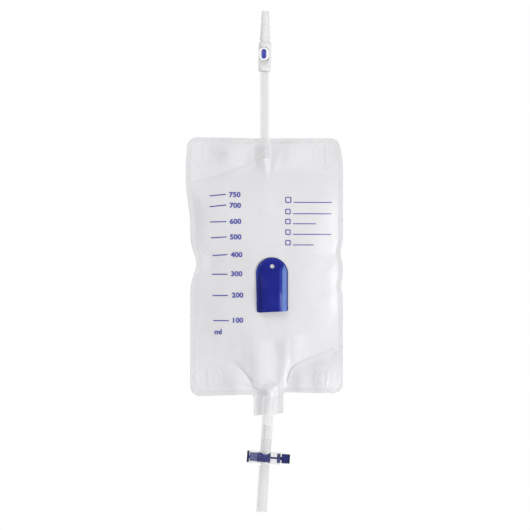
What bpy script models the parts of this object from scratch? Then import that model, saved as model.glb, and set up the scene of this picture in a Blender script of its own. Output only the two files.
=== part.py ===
"""A leg-worn urine drainage bag with its inlet connector, anti-reflux valve, outlet pocket and drain tap.

Metres, +Z up, front towards -Y. The origin lies in the weld plane, midway between the two upper strap slits.
"""

import math

import bmesh
import bpy
from mathutils import Vector

# Fits between pieces
CLEARANCE = 0.0003
SEAL_CLEARANCE = 0.00015
OVERSHOOT = 0.002

# Bag films and their weld
FILM = 0.0003
WELD_WIDTH = 0.0045
WELD_GAP = 0.0003
HALF_WIDTH = 0.0708
TOP_LEFT = 0.0162
TOP_MIDDLE = 0.0149
BODY_HEIGHT = 0.2304
BOTTOM_SAG_LEFT = 0.0017
BOTTOM_RISE_RIGHT = 0.0010
BOTTOM_RISE_NECK = 0.0021
CORNER_RADIUS = 0.0090
CORNER_STEPS = 6
GRID_PITCH = 0.0085
SMALL_PITCH = 0.0042
FINE_PITCH = 0.0016
FRONT_PUFF = 0.0070
BACK_PUFF = 0.0058
PUFF_REACH = 0.040
UPPER_FOLD_DROP = 0.0080
UPPER_FOLD_FALL_LEFT = 0.0180
UPPER_FOLD_FALL_RIGHT = 0.0110
LOWER_FOLD_SPAN = 0.0420

# Where the sides are drawn in: height, spread and depth of each pull
LEFT_PULLS = ((0.0150, 0.014, 0.0015), (-0.0977, 0.013, 0.0055))
RIGHT_PULLS = ((0.0150, 0.014, 0.0040), (-0.0880, 0.008, 0.0022), (-0.1180, 0.007, 0.0016))
LEFT_WAIST_DEPTH = 0.0040
LEFT_WAIST_TOP = -0.022
LEFT_WAIST_BOTTOM = -0.064

# Neck at the bottom edge
NECK_WIDTH = 0.0268
NECK_LENGTH = 0.0190
NECK_SHIFT = -0.0006
NECK_SKEW = 0.0022
NECK_FILLET = 0.0030

# Strap slits, each inside a ring that is welded flat
SLIT_LENGTH = 0.0162
SLIT_WIDTH = 0.0012
SLIT_INSET = 0.0157
LOWER_SLIT_INSET_LEFT = 0.0200
LOWER_SLIT_INSET_RIGHT = 0.0148
LOWER_SLIT_RISE = 0.0145
LOWER_SLIT_TILT = math.radians(4)
SLIT_RING_RADIUS = 0.0110
SLIT_RING_RAMP = 0.0090

# Inlet tube and connector
INLET_TUBE_RADIUS = 0.0041
INLET_TUBE_WALL = 0.0017
INLET_TUBE_LENGTH = 0.0859
INLET_TUBE_DEPTH = 0.0180
INLET_FOOT = 0.0085
CONNECTOR_LENGTH = 0.0544
CONNECTOR_TILT = math.radians(0.9)
PORT_TURN = math.radians(9)
NOZZLE_LENGTH = 0.0263
NOZZLE_TIP_RADIUS = 0.0033
NOZZLE_ROOT_RADIUS = 0.00505
BARB_COUNT = 5
BARB_STEP = 0.00025
CONNECTOR_NECK_RADIUS = 0.0042
CONNECTOR_NECK_LENGTH = 0.0009
HOUSING_RADIUS = 0.0058
HOUSING_TAPER = 0.0004
HOUSING_SHOULDER = 0.0029
SOCKET_DEPTH = 0.0080
CONNECTOR_BORE = 0.0023

# Sample port in the housing
PORT_HEIGHT = 0.0155
PORT_HALF_WIDTH = 0.0040
PORT_HALF_HEIGHT = 0.0059
PORT_PROUD = 0.0007
PORT_FLOOR_WALL = 0.0009
SEPTUM_HALF_WIDTH = 0.0018
SEPTUM_HALF_HEIGHT = 0.0041
SEPTUM_PROUD = 0.0003
PORT_HOLE_RADIUS = 0.0010

# Anti-reflux valve: two small films around the end of the inlet tube
VALVE_WIDTH = 0.0330
VALVE_DROP = 0.0069
VALVE_BODY = 0.0120
VALVE_TAIL = 0.0162
VALVE_TIP_WIDTH = 0.0060
VALVE_RAMP = 0.0085
VALVE_FOOT = 0.0075
VALVE_FADE = 0.0110

# Outlet pocket on the front film
POCKET_WIDTH = 0.0286
POCKET_HEIGHT = 0.0492
POCKET_DROP = 0.1071
POCKET_SHIFT = 0.0066
POCKET_SHEET = 0.0004
POCKET_BULGE = 0.0062
POCKET_WELD = 0.0016
POCKET_PITCH = 0.0021
POCKET_SEAT = 0.00045
POCKET_MOUTH_SLOPE = 0.0013
POCKET_HOLE_RADIUS = 0.00225
POCKET_HOLE_DROP = 0.0082

# Outlet line, measured along its own tilted axis from the middle of the tap
LINE_TILT = math.radians(3.8)
TAP_X = 0.0005
TAP_BELOW = 0.0567
OUTLET_TUBE_RADIUS = 0.0052
DRAIN_TUBE_RADIUS = 0.0050
TUBE_BORE = 0.0039
OUTLET_TUBE_TOP = 0.0590
DRAIN_TUBE_END = 0.0490
OUTLET_FOOT = 0.0095

# Tap body
BARREL_RADIUS = 0.0056
BARREL_WALL = 0.00095
BARREL_HALF_LENGTH = 0.01405
STUB_RADIUS = 0.0049
STUB_LENGTH = 0.0170
SPIGOT_GRIP = 0.0120
SPIGOT_RADIUS = TUBE_BORE - CLEARANCE
SPIGOT_TIP_CHAMFER = 0.0004
LOWER_STUB_LENGTH = 0.0077
PORT_BORE = 0.0025

# Sliding spool and what is fixed to it
SPOOL_TRAVEL = 0.0075
CORE_RADIUS = 0.00395
LAND_LEFT = -0.0069
LAND_RIGHT = 0.0048
ROD_RADIUS = 0.0009
END_LAND_LEFT = 0.0106
END_LAND_RIGHT = 0.0134
SEAL_WIDTH = 0.0010
SEAL_DEPTH = 0.00085
SEAL_INSET = 0.0010
PEG_RADIUS = 0.0015
PEG_GRIP = 0.0050
KNOB_START = 0.0148
KNOB_GROOVE = 0.0003
KNOB_RIM = 0.0014
DISC_RADIUS = 0.00535
DISC_THICKNESS = 0.00205
DISC_PEG = 0.0011

# Roundness
TURN_STEPS = 32
SMALL_TURN_STEPS = 16
SHARP_ANGLE = math.radians(35)
MERGE = 0.000001

# Which way a film is thickened
FRONT = -1
BACK = 1

# Look of the soft tubes
CLEAR_TUBE = {"colour": (0.84, 0.85, 0.86), "roughness": 0.3, "transmission": 0.6}

# Worked out from the sizes above
BOTTOM = TOP_MIDDLE - BODY_HEIGHT
TAP_DROP = TAP_BELOW - BOTTOM
KNOB_LENGTH = SPOOL_TRAVEL
POCKET_TOP = TOP_MIDDLE - POCKET_DROP
NECK_END = BOTTOM - NECK_LENGTH
BORE_RADIUS = BARREL_RADIUS - BARREL_WALL
LAND_RADIUS = BORE_RADIUS - CLEARANCE
LINE_SLOPE = math.tan(LINE_TILT)
INLET_TUBE_END = TOP_MIDDLE - INLET_TUBE_DEPTH
CONNECTOR_BASE = INLET_TUBE_END + INLET_TUBE_LENGTH + CLEARANCE - SOCKET_DEPTH
OUTLET_TOP_Z = OUTLET_TUBE_TOP * math.cos(LINE_TILT) - TAP_DROP
VALVE_STACK = FILM + CLEARANCE
VALVE_TOP = TOP_MIDDLE - VALVE_DROP
VALVE_LOW = INLET_TUBE_END - VALVE_TAIL


def clear_scene():
    for obj in list(bpy.data.objects):
        bpy.data.objects.remove(obj, do_unlink=True)


clear_scene()
BAG = bpy.data.collections.new("urine_drainage_bag")
CUTTERS = bpy.data.collections.new("cutters")
for collection in (BAG, CUTTERS):
    bpy.context.scene.collection.children.link(collection)


def material(name, colour, roughness, transmission=0.0):
    made = bpy.data.materials.new(name)
    made.use_nodes = True
    shader = made.node_tree.nodes["Principled BSDF"]
    shader.inputs["Base Color"].default_value = (*colour, 1.0)
    shader.inputs["Roughness"].default_value = roughness
    shader.inputs["Metallic"].default_value = 0.0
    shader.inputs["Transmission Weight"].default_value = transmission
    made.diffuse_color = (*colour, 1.0)
    return made


def add(name, mesh, colour=None, roughness=0.4, transmission=0.0, frame=None, collection=None):
    """Puts a mesh into the scene as a named piece with a material of its own, or as a cutter without one."""
    obj = bpy.data.objects.new(name, mesh)
    (collection or BAG).objects.link(obj)
    obj.parent = frame
    if colour:
        mesh.materials.clear()
        mesh.materials.append(material(name + "_material", colour, roughness, transmission))
    return obj


def frame_at(name, location, rotation):
    """An empty that carries pieces which lie along a tilted axis."""
    frame = bpy.data.objects.new(name, None)
    frame.location = location
    frame.rotation_euler = rotation
    BAG.objects.link(frame)
    return frame


def combine(obj, other, operation):
    """Cuts, keeps or joins by a second mesh, which is then only a helper."""
    other.hide_render = True
    other.display_type = "WIRE"
    step = obj.modifiers.new(other.name, "BOOLEAN")
    step.operation = operation
    step.solver = "EXACT"
    step.object = other


def round_off(obj):
    obj.data.shade_smooth()
    obj.data.set_sharp_from_angle(angle=SHARP_ANGLE)


def turned_mesh(name, profile, closed=False):
    """The profile of a turned piece, as (radius, height) points that run down its outer side."""
    mesh = bpy.data.meshes.new(name)
    shape = bmesh.new()
    points = [shape.verts.new((radius, 0.0, height)) for radius, height in profile]
    for first, second in zip(points, points[1:]):
        shape.edges.new((first, second))
    if closed:
        shape.edges.new((points[-1], points[0]))
    shape.to_mesh(mesh)
    shape.free()
    return mesh


def turned(name, profile, closed=False, steps=TURN_STEPS, **looks):
    obj = add(name, turned_mesh(name, profile, closed), **looks)
    screw = obj.modifiers.new("turn", "SCREW")
    screw.axis = "Z"
    screw.steps = steps
    screw.render_steps = steps
    screw.use_merge_vertices = True
    screw.merge_threshold = MERGE
    screw.use_smooth_shade = True
    return obj


def cutter_rod(name, radius, low, high, frame=None, steps=TURN_STEPS):
    """A round cutter along Z."""
    profile = ((0.0, high), (radius, high), (radius, low), (0.0, low))
    return turned(name, profile, steps=steps, frame=frame, collection=CUTTERS)


def prism(name, loops, half_depth, frame=None):
    """An outline in the XZ plane, and any holes in it, given a depth along Y on both sides."""
    curve = bpy.data.curves.new(name, "CURVE")
    curve.dimensions = "2D"
    curve.fill_mode = "BOTH"
    curve.extrude = half_depth
    for loop in loops:
        spline = curve.splines.new("POLY")
        spline.points.add(len(loop) - 1)
        for point, (x, z) in zip(spline.points, loop):
            point.co = (x, z, 0.0, 1.0)
        spline.use_cyclic_u = True
    guide = bpy.data.objects.new(name + "_guide", curve)
    guide.rotation_euler = (math.pi / 2, 0.0, 0.0)
    BAG.objects.link(guide)
    bpy.context.view_layer.update()
    graph = bpy.context.evaluated_depsgraph_get()
    mesh = bpy.data.meshes.new_from_object(guide.evaluated_get(graph))
    mesh.transform(guide.matrix_world)
    mesh.name = name
    shape = bmesh.new()
    shape.from_mesh(mesh)
    bmesh.ops.remove_doubles(shape, verts=shape.verts, dist=MERGE)
    bmesh.ops.recalc_face_normals(shape, faces=shape.faces)
    shape.to_mesh(mesh)
    shape.free()
    bpy.data.objects.remove(guide)
    return add(name, mesh, frame=frame, collection=CUTTERS)


def rounded(corners):
    """A closed outline through (x, z, radius) corners, each turned as an arc of that radius."""
    outline = []
    for index, (x, z, radius) in enumerate(corners):
        if radius <= 0.0:
            outline.append((x, z))
            continue
        corner = Vector((x, z))
        back = (Vector(corners[index - 1][:2]) - corner).normalized()
        ahead = (Vector(corners[(index + 1) % len(corners)][:2]) - corner).normalized()
        half = back.angle(ahead) / 2
        centre = corner + (back + ahead).normalized() * radius / math.sin(half)
        start = corner + back * radius / math.tan(half) - centre
        sweep = start.angle_signed(corner + ahead * radius / math.tan(half) - centre)
        for step in range(CORNER_STEPS + 1):
            turn = math.atan2(start.y, start.x) - sweep * step / CORNER_STEPS
            outline.append((centre.x + radius * math.cos(turn), centre.y + radius * math.sin(turn)))
    return outline


def oval(half_width, half_height, centre, tilt=0.0):
    """A slot outline with round ends, upright unless it is tilted."""
    straight = half_height - half_width
    outline = []
    for end in (1, -1):
        for step in range(2 * CORNER_STEPS + 1):
            turn = math.pi * step / (2 * CORNER_STEPS)
            across = end * half_width * math.cos(turn)
            up = end * (straight + half_width * math.sin(turn))
            outline.append((
                centre[0] + across * math.cos(tilt) + up * math.sin(tilt),
                centre[1] - across * math.sin(tilt) + up * math.cos(tilt),
            ))
    return outline


def ease(share):
    """A smooth step from 0 to 1."""
    share = min(max(share, 0.0), 1.0)
    return share * share * (3.0 - 2.0 * share)


def rise(share):
    """A step that starts steeply, like a film leaving its weld, and ends level."""
    share = min(max(share, 0.0), 1.0)
    return 1.0 - (1.0 - share) ** 2


def pulled(z, pulls):
    """How far an edge is drawn in at a height."""
    return sum(depth * math.exp(-(((z - height) / span) ** 2)) for height, span, depth in pulls)


def left_edge(z):
    waist = LEFT_WAIST_DEPTH * ease((LEFT_WAIST_TOP - z) / (LEFT_WAIST_TOP - LEFT_WAIST_BOTTOM))
    return -HALF_WIDTH + waist + pulled(z, LEFT_PULLS)


def right_edge(z):
    return HALF_WIDTH - pulled(z, RIGHT_PULLS)


def line_x(z):
    """Where the axis of the outlet line passes at a height."""
    return TAP_X + LINE_SLOPE * (z + TAP_DROP)


NECK_X = line_x(BOTTOM) + NECK_SHIFT


def bag_outline():
    """Outer edge of the weld, clockwise from the upper left corner."""
    clear_of_corners = CORNER_RADIUS + WELD_WIDTH
    heights = spread(TOP_MIDDLE - clear_of_corners, BOTTOM + clear_of_corners, GRID_PITCH)
    left_neck, right_neck = NECK_X - NECK_WIDTH / 2, NECK_X + NECK_WIDTH / 2
    bottom_left, bottom_right = BOTTOM - BOTTOM_SAG_LEFT, BOTTOM + BOTTOM_RISE_RIGHT
    corners = [(left_edge(TOP_LEFT), TOP_LEFT, CORNER_RADIUS)]
    corners.append((-INLET_FOOT, TOP_MIDDLE, 0.0))
    corners.append((right_edge(TOP_MIDDLE), TOP_MIDDLE, CORNER_RADIUS))
    corners.extend((right_edge(z), z, 0.0) for z in heights)
    corners.append((right_edge(BOTTOM), bottom_right, CORNER_RADIUS))
    corners.append((right_neck, BOTTOM + BOTTOM_RISE_NECK, NECK_FILLET))
    corners.append((right_neck, NECK_END + NECK_SKEW, 0.0))
    corners.append((left_neck, NECK_END, 0.0))
    corners.append((left_neck, BOTTOM, NECK_FILLET))
    corners.append((left_edge(BOTTOM), bottom_left, CORNER_RADIUS))
    corners.extend((left_edge(z), z, 0.0) for z in reversed(heights))
    return rounded(corners)


def slit_centres():
    """(x, z, tilt) of the four strap slits."""
    upper = HALF_WIDTH - SLIT_INSET
    low = BOTTOM + LOWER_SLIT_RISE
    return (
        (-upper, 0.0, 0.0),
        (upper, 0.0, 0.0),
        (LOWER_SLIT_INSET_LEFT - HALF_WIDTH, low, -LOWER_SLIT_TILT),
        (HALF_WIDTH - LOWER_SLIT_INSET_RIGHT, low, LOWER_SLIT_TILT),
    )


def wrap(offset, radius, foot):
    """Height over the weld plane of a film drawn tight over a tube, whose feet meet at foot either side."""
    offset = abs(offset)
    if offset >= foot:
        return 0.0
    if offset < radius * radius / foot:
        return math.sqrt(radius * radius - offset * offset)
    return (foot - offset) * radius / math.sqrt(foot * foot - radius * radius)


def pillow(x, z):
    """Share of the full puff, from 0 on the welds to 1 in the middle of the bag."""
    fall = UPPER_FOLD_FALL_LEFT if x < 0.0 else UPPER_FOLD_FALL_RIGHT
    upper_fold = -UPPER_FOLD_DROP - fall * min(abs(x) / HALF_WIDTH, 1.0)
    out_from_neck = min(abs(x - NECK_X) / HALF_WIDTH, 1.0)
    lower_fold = BOTTOM + LOWER_FOLD_SPAN * math.sqrt(out_from_neck)
    share = rise((x - left_edge(z) - WELD_WIDTH) / PUFF_REACH)
    share *= rise((right_edge(z) - WELD_WIDTH - x) / PUFF_REACH)
    share *= rise((upper_fold - z) / PUFF_REACH)
    share *= rise((z - lower_fold) / PUFF_REACH)
    for slit_x, slit_z, _ in slit_centres():
        share *= ease((math.hypot(x - slit_x, z - slit_z) - SLIT_RING_RADIUS) / SLIT_RING_RAMP)
    return share


def valve_inner(x, z):
    """Half the space between the two valve films."""
    fade = ease((z - INLET_TUBE_END + VALVE_FADE) / VALVE_FADE)
    return max(WELD_GAP / 2, wrap(x, INLET_TUBE_RADIUS + CLEARANCE, VALVE_FOOT) * fade)


def film_inner(x, z, puff):
    """Half the space between the two bag films."""
    flat = WELD_GAP / 2
    beside = 1.0 - ease((abs(x) - VALVE_WIDTH / 2 - CLEARANCE) / VALVE_RAMP)
    beyond = ease((z - VALVE_LOW + VALVE_RAMP) / VALVE_RAMP)
    covered = flat + (VALVE_STACK + CLEARANCE) * beside * beyond
    at_valve = ease((VALVE_TOP + WELD_WIDTH - z) / WELD_WIDTH)
    inlet = wrap(x, INLET_TUBE_RADIUS + CLEARANCE + VALVE_STACK * at_valve, INLET_FOOT)
    inlet *= ease((z - INLET_TUBE_END + PUFF_REACH) / (PUFF_REACH - CLEARANCE))
    reach = ease((OUTLET_TOP_Z + PUFF_REACH - z) / (PUFF_REACH - CLEARANCE))
    outlet = wrap(x - line_x(z), OUTLET_TUBE_RADIUS + 2 * CLEARANCE, OUTLET_FOOT) * reach
    return max(flat + puff * pillow(x, z), covered, inlet, outlet)


def spread(start, stop, pitch):
    """Even places from start up to but not including stop, about one pitch apart."""
    count = max(1, round(abs(stop - start) / pitch))
    return [start + (stop - start) * step / count for step in range(count)]


def film_mesh(name, columns, rows, height):
    """A grid whose points are moved to the given columns and rows, at height(x, z) along Y."""
    shape = bmesh.new()
    across, down = len(columns(rows[0])) - 1, len(rows) - 1
    bmesh.ops.create_grid(shape, x_segments=across, y_segments=down, size=1.0)
    for vertex in shape.verts:
        column = round((vertex.co.x + 1.0) / 2.0 * across)
        z = rows[round((vertex.co.y + 1.0) / 2.0 * down)]
        x = columns(z)[column]
        vertex.co = (x, height(x, z), z)
    mesh = bpy.data.meshes.new(name)
    shape.to_mesh(mesh)
    shape.free()
    return mesh


def sheet(name, columns, rows, height, thickness, side, outline, **looks):
    """A film over a grid, thickened towards side * Y and trimmed to an outline."""
    obj = add(name, film_mesh(name, columns, rows, height), **looks)
    solid = obj.modifiers.new("thickness", "SOLIDIFY")
    solid.thickness = thickness
    solid.offset = side
    solid.use_even_offset = True
    combine(obj, outline, "INTERSECT")
    round_off(obj)
    return obj


def bag_columns(z):
    """Columns that follow both edges, with fine ones over the tubes."""
    fine_left = -INLET_FOOT
    fine_right = max(INLET_FOOT, line_x(OUTLET_TOP_Z) + OUTLET_FOOT)
    left, right = left_edge(z), right_edge(z)
    outer_left = spread(-HALF_WIDTH + WELD_WIDTH, fine_left, GRID_PITCH)
    outer_right = spread(fine_right, HALF_WIDTH - WELD_WIDTH, GRID_PITCH)
    left_span = (fine_left - left - WELD_WIDTH) / (fine_left + HALF_WIDTH - WELD_WIDTH)
    right_span = (right - WELD_WIDTH - fine_right) / (HALF_WIDTH - WELD_WIDTH - fine_right)
    columns = [left - OVERSHOOT]
    columns.extend(fine_left + (x - fine_left) * left_span for x in outer_left)
    columns.extend(spread(fine_left, fine_right, FINE_PITCH))
    columns.extend(fine_right + (x - fine_right) * right_span for x in outer_right)
    columns.append(right - WELD_WIDTH)
    columns.append(right + OVERSHOOT)
    return columns


def bag_rows():
    band_low = BOTTOM + WELD_WIDTH
    rows = [TOP_LEFT + OVERSHOOT]
    rows.extend(spread(TOP_MIDDLE - WELD_WIDTH, band_low, GRID_PITCH))
    rows.extend(spread(band_low, NECK_END, GRID_PITCH))
    rows.append(NECK_END - OVERSHOOT)
    return rows


def build_films():
    loops = [bag_outline()]
    for x, z, tilt in slit_centres():
        loops.append(oval(SLIT_WIDTH / 2, SLIT_LENGTH / 2, (x, z), tilt))
    outline = prism("bag_outline", loops, max(FRONT_PUFF, OUTLET_TUBE_RADIUS) + OVERSHOOT)
    rows = bag_rows()
    clear = {"colour": (0.86, 0.87, 0.89), "roughness": 0.35, "transmission": 0.7}

    def front(x, z):
        return -film_inner(x, z, FRONT_PUFF)

    def back(x, z):
        return film_inner(x, z, BACK_PUFF)

    sheet("bag_front_film", bag_columns, rows, front, FILM, FRONT, outline, **clear)
    sheet("bag_back_film", bag_columns, rows, back, FILM, BACK, outline, **clear)


def build_reflux_valve():
    half, tip = VALVE_WIDTH / 2, VALVE_TIP_WIDTH / 2
    body_end = VALVE_TOP - VALVE_BODY
    corners = (
        (-half, VALVE_TOP, 0.0),
        (half, VALVE_TOP, 0.0),
        (half, body_end, tip),
        (tip, VALVE_LOW, 0.0),
        (-tip, VALVE_LOW, 0.0),
        (-half, body_end, tip),
    )
    outline = prism("valve_outline", [rounded(corners)], INLET_TUBE_RADIUS + OVERSHOOT)
    side = spread(VALVE_FOOT, half + OVERSHOOT, SMALL_PITCH)
    side.append(half + OVERSHOOT)
    places = [-x for x in reversed(side)]
    places.extend(spread(-VALVE_FOOT, VALVE_FOOT, FINE_PITCH)[1:])
    places.extend(side)
    rows = spread(VALVE_TOP + OVERSHOOT, VALVE_LOW - OVERSHOOT, SMALL_PITCH)
    rows.append(VALVE_LOW - OVERSHOOT)
    clear = {"colour": (0.88, 0.88, 0.90), "roughness": 0.4, "transmission": 0.6}

    def columns(_):
        return places

    def front(x, z):
        return -valve_inner(x, z)

    sheet("reflux_valve_front_film", columns, rows, front, FILM, FRONT, outline, **clear)
    sheet("reflux_valve_back_film", columns, rows, valve_inner, FILM, BACK, outline, **clear)


def ring_profile(outer, inner, low, high):
    return ((outer, high), (outer, low), (inner, low), (inner, high))


def build_inlet_tube():
    top = INLET_TUBE_LENGTH
    profile = ring_profile(INLET_TUBE_RADIUS, INLET_TUBE_RADIUS - INLET_TUBE_WALL, 0.0, top)
    tube = turned("inlet_tube", profile, closed=True, **CLEAR_TUBE)
    tube.location = (0.0, 0.0, INLET_TUBE_END)


def connector_profile():
    """Down the barbed nozzle and the housing, then up through the tube socket and the bore."""
    nozzle_low = CONNECTOR_LENGTH - NOZZLE_LENGTH
    profile = []
    for barb in range(BARB_COUNT):
        top = CONNECTOR_LENGTH - NOZZLE_LENGTH * barb / BARB_COUNT
        low = CONNECTOR_LENGTH - NOZZLE_LENGTH * (barb + 1) / BARB_COUNT
        grown = (NOZZLE_ROOT_RADIUS - NOZZLE_TIP_RADIUS) / BARB_COUNT
        radius = NOZZLE_TIP_RADIUS + grown * barb
        profile.append((radius - (BARB_STEP if barb else 0.0), top - (BARB_STEP if barb else 0.0)))
        profile.append((radius + grown, low))
    shoulder_top = nozzle_low - CONNECTOR_NECK_LENGTH
    shoulder_low = shoulder_top - HOUSING_SHOULDER
    profile.append((CONNECTOR_NECK_RADIUS, nozzle_low - BARB_STEP))
    profile.append((CONNECTOR_NECK_RADIUS, shoulder_top))
    profile.append((HOUSING_RADIUS - HOUSING_TAPER, (shoulder_top + shoulder_low) / 2))
    profile.append((HOUSING_RADIUS, shoulder_low))
    profile.append((HOUSING_RADIUS - HOUSING_TAPER, 2 * HOUSING_TAPER))
    profile.append((HOUSING_RADIUS - 2 * HOUSING_TAPER, 0.0))
    socket = INLET_TUBE_RADIUS + CLEARANCE
    profile.append((socket, 0.0))
    profile.append((socket, SOCKET_DEPTH))
    profile.append((CONNECTOR_BORE, SOCKET_DEPTH))
    profile.append((CONNECTOR_BORE, CONNECTOR_LENGTH))
    return profile


def facing_prism(name, outline, near, far, frame):
    """A prism that runs from near to far in front of the connector's axis."""
    made = prism(name, [outline], (far - near) / 2, frame)
    made.location = (0.0, -(near + far) / 2, 0.0)
    return made


def build_connector():
    frame = frame_at("connector_frame", (0.0, 0.0, CONNECTOR_BASE), (0.0, CONNECTOR_TILT, 0.0))
    white = {"colour": (0.88, 0.88, 0.88), "roughness": 0.35, "frame": frame}
    body = turned("connector_body", connector_profile(), closed=True, **white)
    body.rotation_euler = (0.0, 0.0, -PORT_TURN)
    floor = CONNECTOR_BORE + PORT_FLOOR_WALL
    seat = floor + CLEARANCE
    collar_face = HOUSING_RADIUS + PORT_PROUD
    middle = (0.0, PORT_HEIGHT)
    recess = oval(PORT_HALF_WIDTH + CLEARANCE, PORT_HALF_HEIGHT + CLEARANCE, middle)
    recess = facing_prism("port_recess", recess, floor, 2 * HOUSING_RADIUS, body)
    hole = cutter_rod("port_hole", PORT_HOLE_RADIUS, 0.0, floor + OVERSHOOT, body, SMALL_TURN_STEPS)
    hole.location = (0.0, 0.0, PORT_HEIGHT)
    hole.rotation_euler = (math.pi / 2, 0.0, 0.0)
    combine(body, recess, "DIFFERENCE")
    combine(body, hole, "DIFFERENCE")

    collar_outline = oval(PORT_HALF_WIDTH, PORT_HALF_HEIGHT, middle)
    collar_block = facing_prism("collar_block", collar_outline, seat, collar_face, body)
    opening = oval(SEPTUM_HALF_WIDTH + CLEARANCE, SEPTUM_HALF_HEIGHT + CLEARANCE, middle)
    opening = facing_prism("collar_opening", opening, 0.0, 2 * HOUSING_RADIUS, body)
    plug_outline = oval(SEPTUM_HALF_WIDTH, SEPTUM_HALF_HEIGHT, middle)
    plug = facing_prism("septum_block", plug_outline, seat, collar_face + SEPTUM_PROUD, body)
    collar = keep_as("sample_port_collar", collar_block, (0.90, 0.90, 0.90), 0.3)
    keep_as("sample_port_septum", plug, (0.06, 0.07, 0.35), 0.45)
    combine(collar, opening, "DIFFERENCE")


def keep_as(name, block, colour, roughness):
    """Makes a prism a piece of the object."""
    CUTTERS.objects.unlink(block)
    BAG.objects.link(block)
    block.name = name
    block.data.materials.clear()
    block.data.materials.append(material(name + "_material", colour, roughness))
    round_off(block)
    return block


def build_pocket():
    half = POCKET_WIDTH / 2
    low = POCKET_TOP - POCKET_HEIGHT
    dome_steps = 3 * CORNER_STEPS
    outline = []
    for step in range(dome_steps + 1):
        turn = math.pi * step / dome_steps
        outline.append((
            POCKET_SHIFT - half * math.cos(turn),
            POCKET_TOP - half + half * math.sin(turn),
        ))
    outline.append((POCKET_SHIFT + half, low + POCKET_MOUTH_SLOPE))
    outline.append((POCKET_SHIFT - half, low))
    hole = (POCKET_SHIFT, POCKET_TOP - POCKET_HOLE_DROP)
    hole = oval(POCKET_HOLE_RADIUS, POCKET_HOLE_RADIUS, hole)
    depth = FRONT_PUFF + POCKET_BULGE + OVERSHOOT
    trim = prism("pocket_outline", [outline, hole], depth)
    across = [-half - OVERSHOOT]
    across.extend(spread(-half + POCKET_WELD, half - POCKET_WELD, POCKET_PITCH))
    across.append(half - POCKET_WELD)
    across.append(half + OVERSHOOT)
    places = [POCKET_SHIFT + x for x in across]
    rows = spread(POCKET_TOP + OVERSHOOT, low - OVERSHOOT, SMALL_PITCH)
    rows.append(low - OVERSHOOT)

    def bulge(x, z):
        arch = min(half, math.sqrt(max(0.0, half**2 - max(0.0, z - POCKET_TOP + half) ** 2)))
        free = arch - POCKET_WELD
        offset = abs(x - POCKET_SHIFT)
        if free <= 0.0 or offset >= free:
            return 0.0
        closing = rise((POCKET_TOP - POCKET_WELD - z) / half)
        return POCKET_BULGE * closing * math.sqrt(1.0 - (offset / free) ** 2)

    def height(x, z):
        return -(film_inner(x, z, FRONT_PUFF) + FILM + POCKET_SEAT + bulge(x, z))

    def columns(_):
        return places

    blue = {"colour": (0.03, 0.035, 0.30), "roughness": 0.25}
    sheet("outlet_pocket", columns, rows, height, POCKET_SHEET, FRONT, trim, **blue)


def build_outlet_line(frame):
    outlet_low = STUB_LENGTH + CLEARANCE
    profile = ring_profile(OUTLET_TUBE_RADIUS, TUBE_BORE, outlet_low, OUTLET_TUBE_TOP)
    turned("outlet_tube", profile, closed=True, frame=frame, **CLEAR_TUBE)
    drain_top = -LOWER_STUB_LENGTH
    profile = ring_profile(DRAIN_TUBE_RADIUS, TUBE_BORE, -DRAIN_TUBE_END, drain_top)
    turned("drain_tube", profile, closed=True, frame=frame, **CLEAR_TUBE)


def along_barrel(obj):
    """Lays a turned piece along the barrel, its top to the right."""
    obj.rotation_euler = (0.0, math.pi / 2, 0.0)
    return obj


def build_tap_body(frame):
    tip = SPIGOT_RADIUS - SPIGOT_TIP_CHAMFER
    upper_tip = STUB_LENGTH + SPIGOT_GRIP
    lower_tip = -LOWER_STUB_LENGTH - SPIGOT_GRIP
    column_profile = (
        (0.0, upper_tip),
        (tip, upper_tip),
        (SPIGOT_RADIUS, upper_tip - SPIGOT_TIP_CHAMFER),
        (SPIGOT_RADIUS, STUB_LENGTH),
        (STUB_RADIUS, STUB_LENGTH),
        (STUB_RADIUS, 0.0),
        (SPIGOT_RADIUS, 0.0),
        (SPIGOT_RADIUS, lower_tip + SPIGOT_TIP_CHAMFER),
        (tip, lower_tip),
        (0.0, lower_tip),
    )
    column = turned("tap_column", column_profile, frame=frame, collection=CUTTERS)
    barrel_profile = (
        (0.0, BARREL_HALF_LENGTH),
        (BARREL_RADIUS, BARREL_HALF_LENGTH),
        (BARREL_RADIUS, -BARREL_HALF_LENGTH),
        (0.0, -BARREL_HALF_LENGTH),
    )
    look = {"colour": (0.86, 0.87, 0.88), "roughness": 0.15, "transmission": 0.85}
    body = along_barrel(turned("tap_body", barrel_profile, frame=frame, **look))
    combine(body, column, "UNION")
    reach = BARREL_HALF_LENGTH + OVERSHOOT
    combine(body, along_barrel(cutter_rod("tap_bore", BORE_RADIUS, -reach, reach, frame)), "DIFFERENCE")
    low, high = lower_tip - OVERSHOOT, upper_tip + OVERSHOOT
    combine(body, cutter_rod("tap_port", PORT_BORE, low, high, frame), "DIFFERENCE")


def groove(centre):
    """The two edges and floor of a seal's groove, met from the right."""
    half = SEAL_WIDTH / 2 + SEAL_CLEARANCE
    floor = BORE_RADIUS - SEAL_CLEARANCE - SEAL_DEPTH - SEAL_CLEARANCE
    return (
        (LAND_RADIUS, centre + half),
        (floor, centre + half),
        (floor, centre - half),
        (LAND_RADIUS, centre - half),
    )


def seal_centres():
    inset = SEAL_INSET + SEAL_WIDTH / 2
    return (LAND_LEFT + inset, LAND_RIGHT - inset, (END_LAND_LEFT + END_LAND_RIGHT) / 2)


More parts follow.
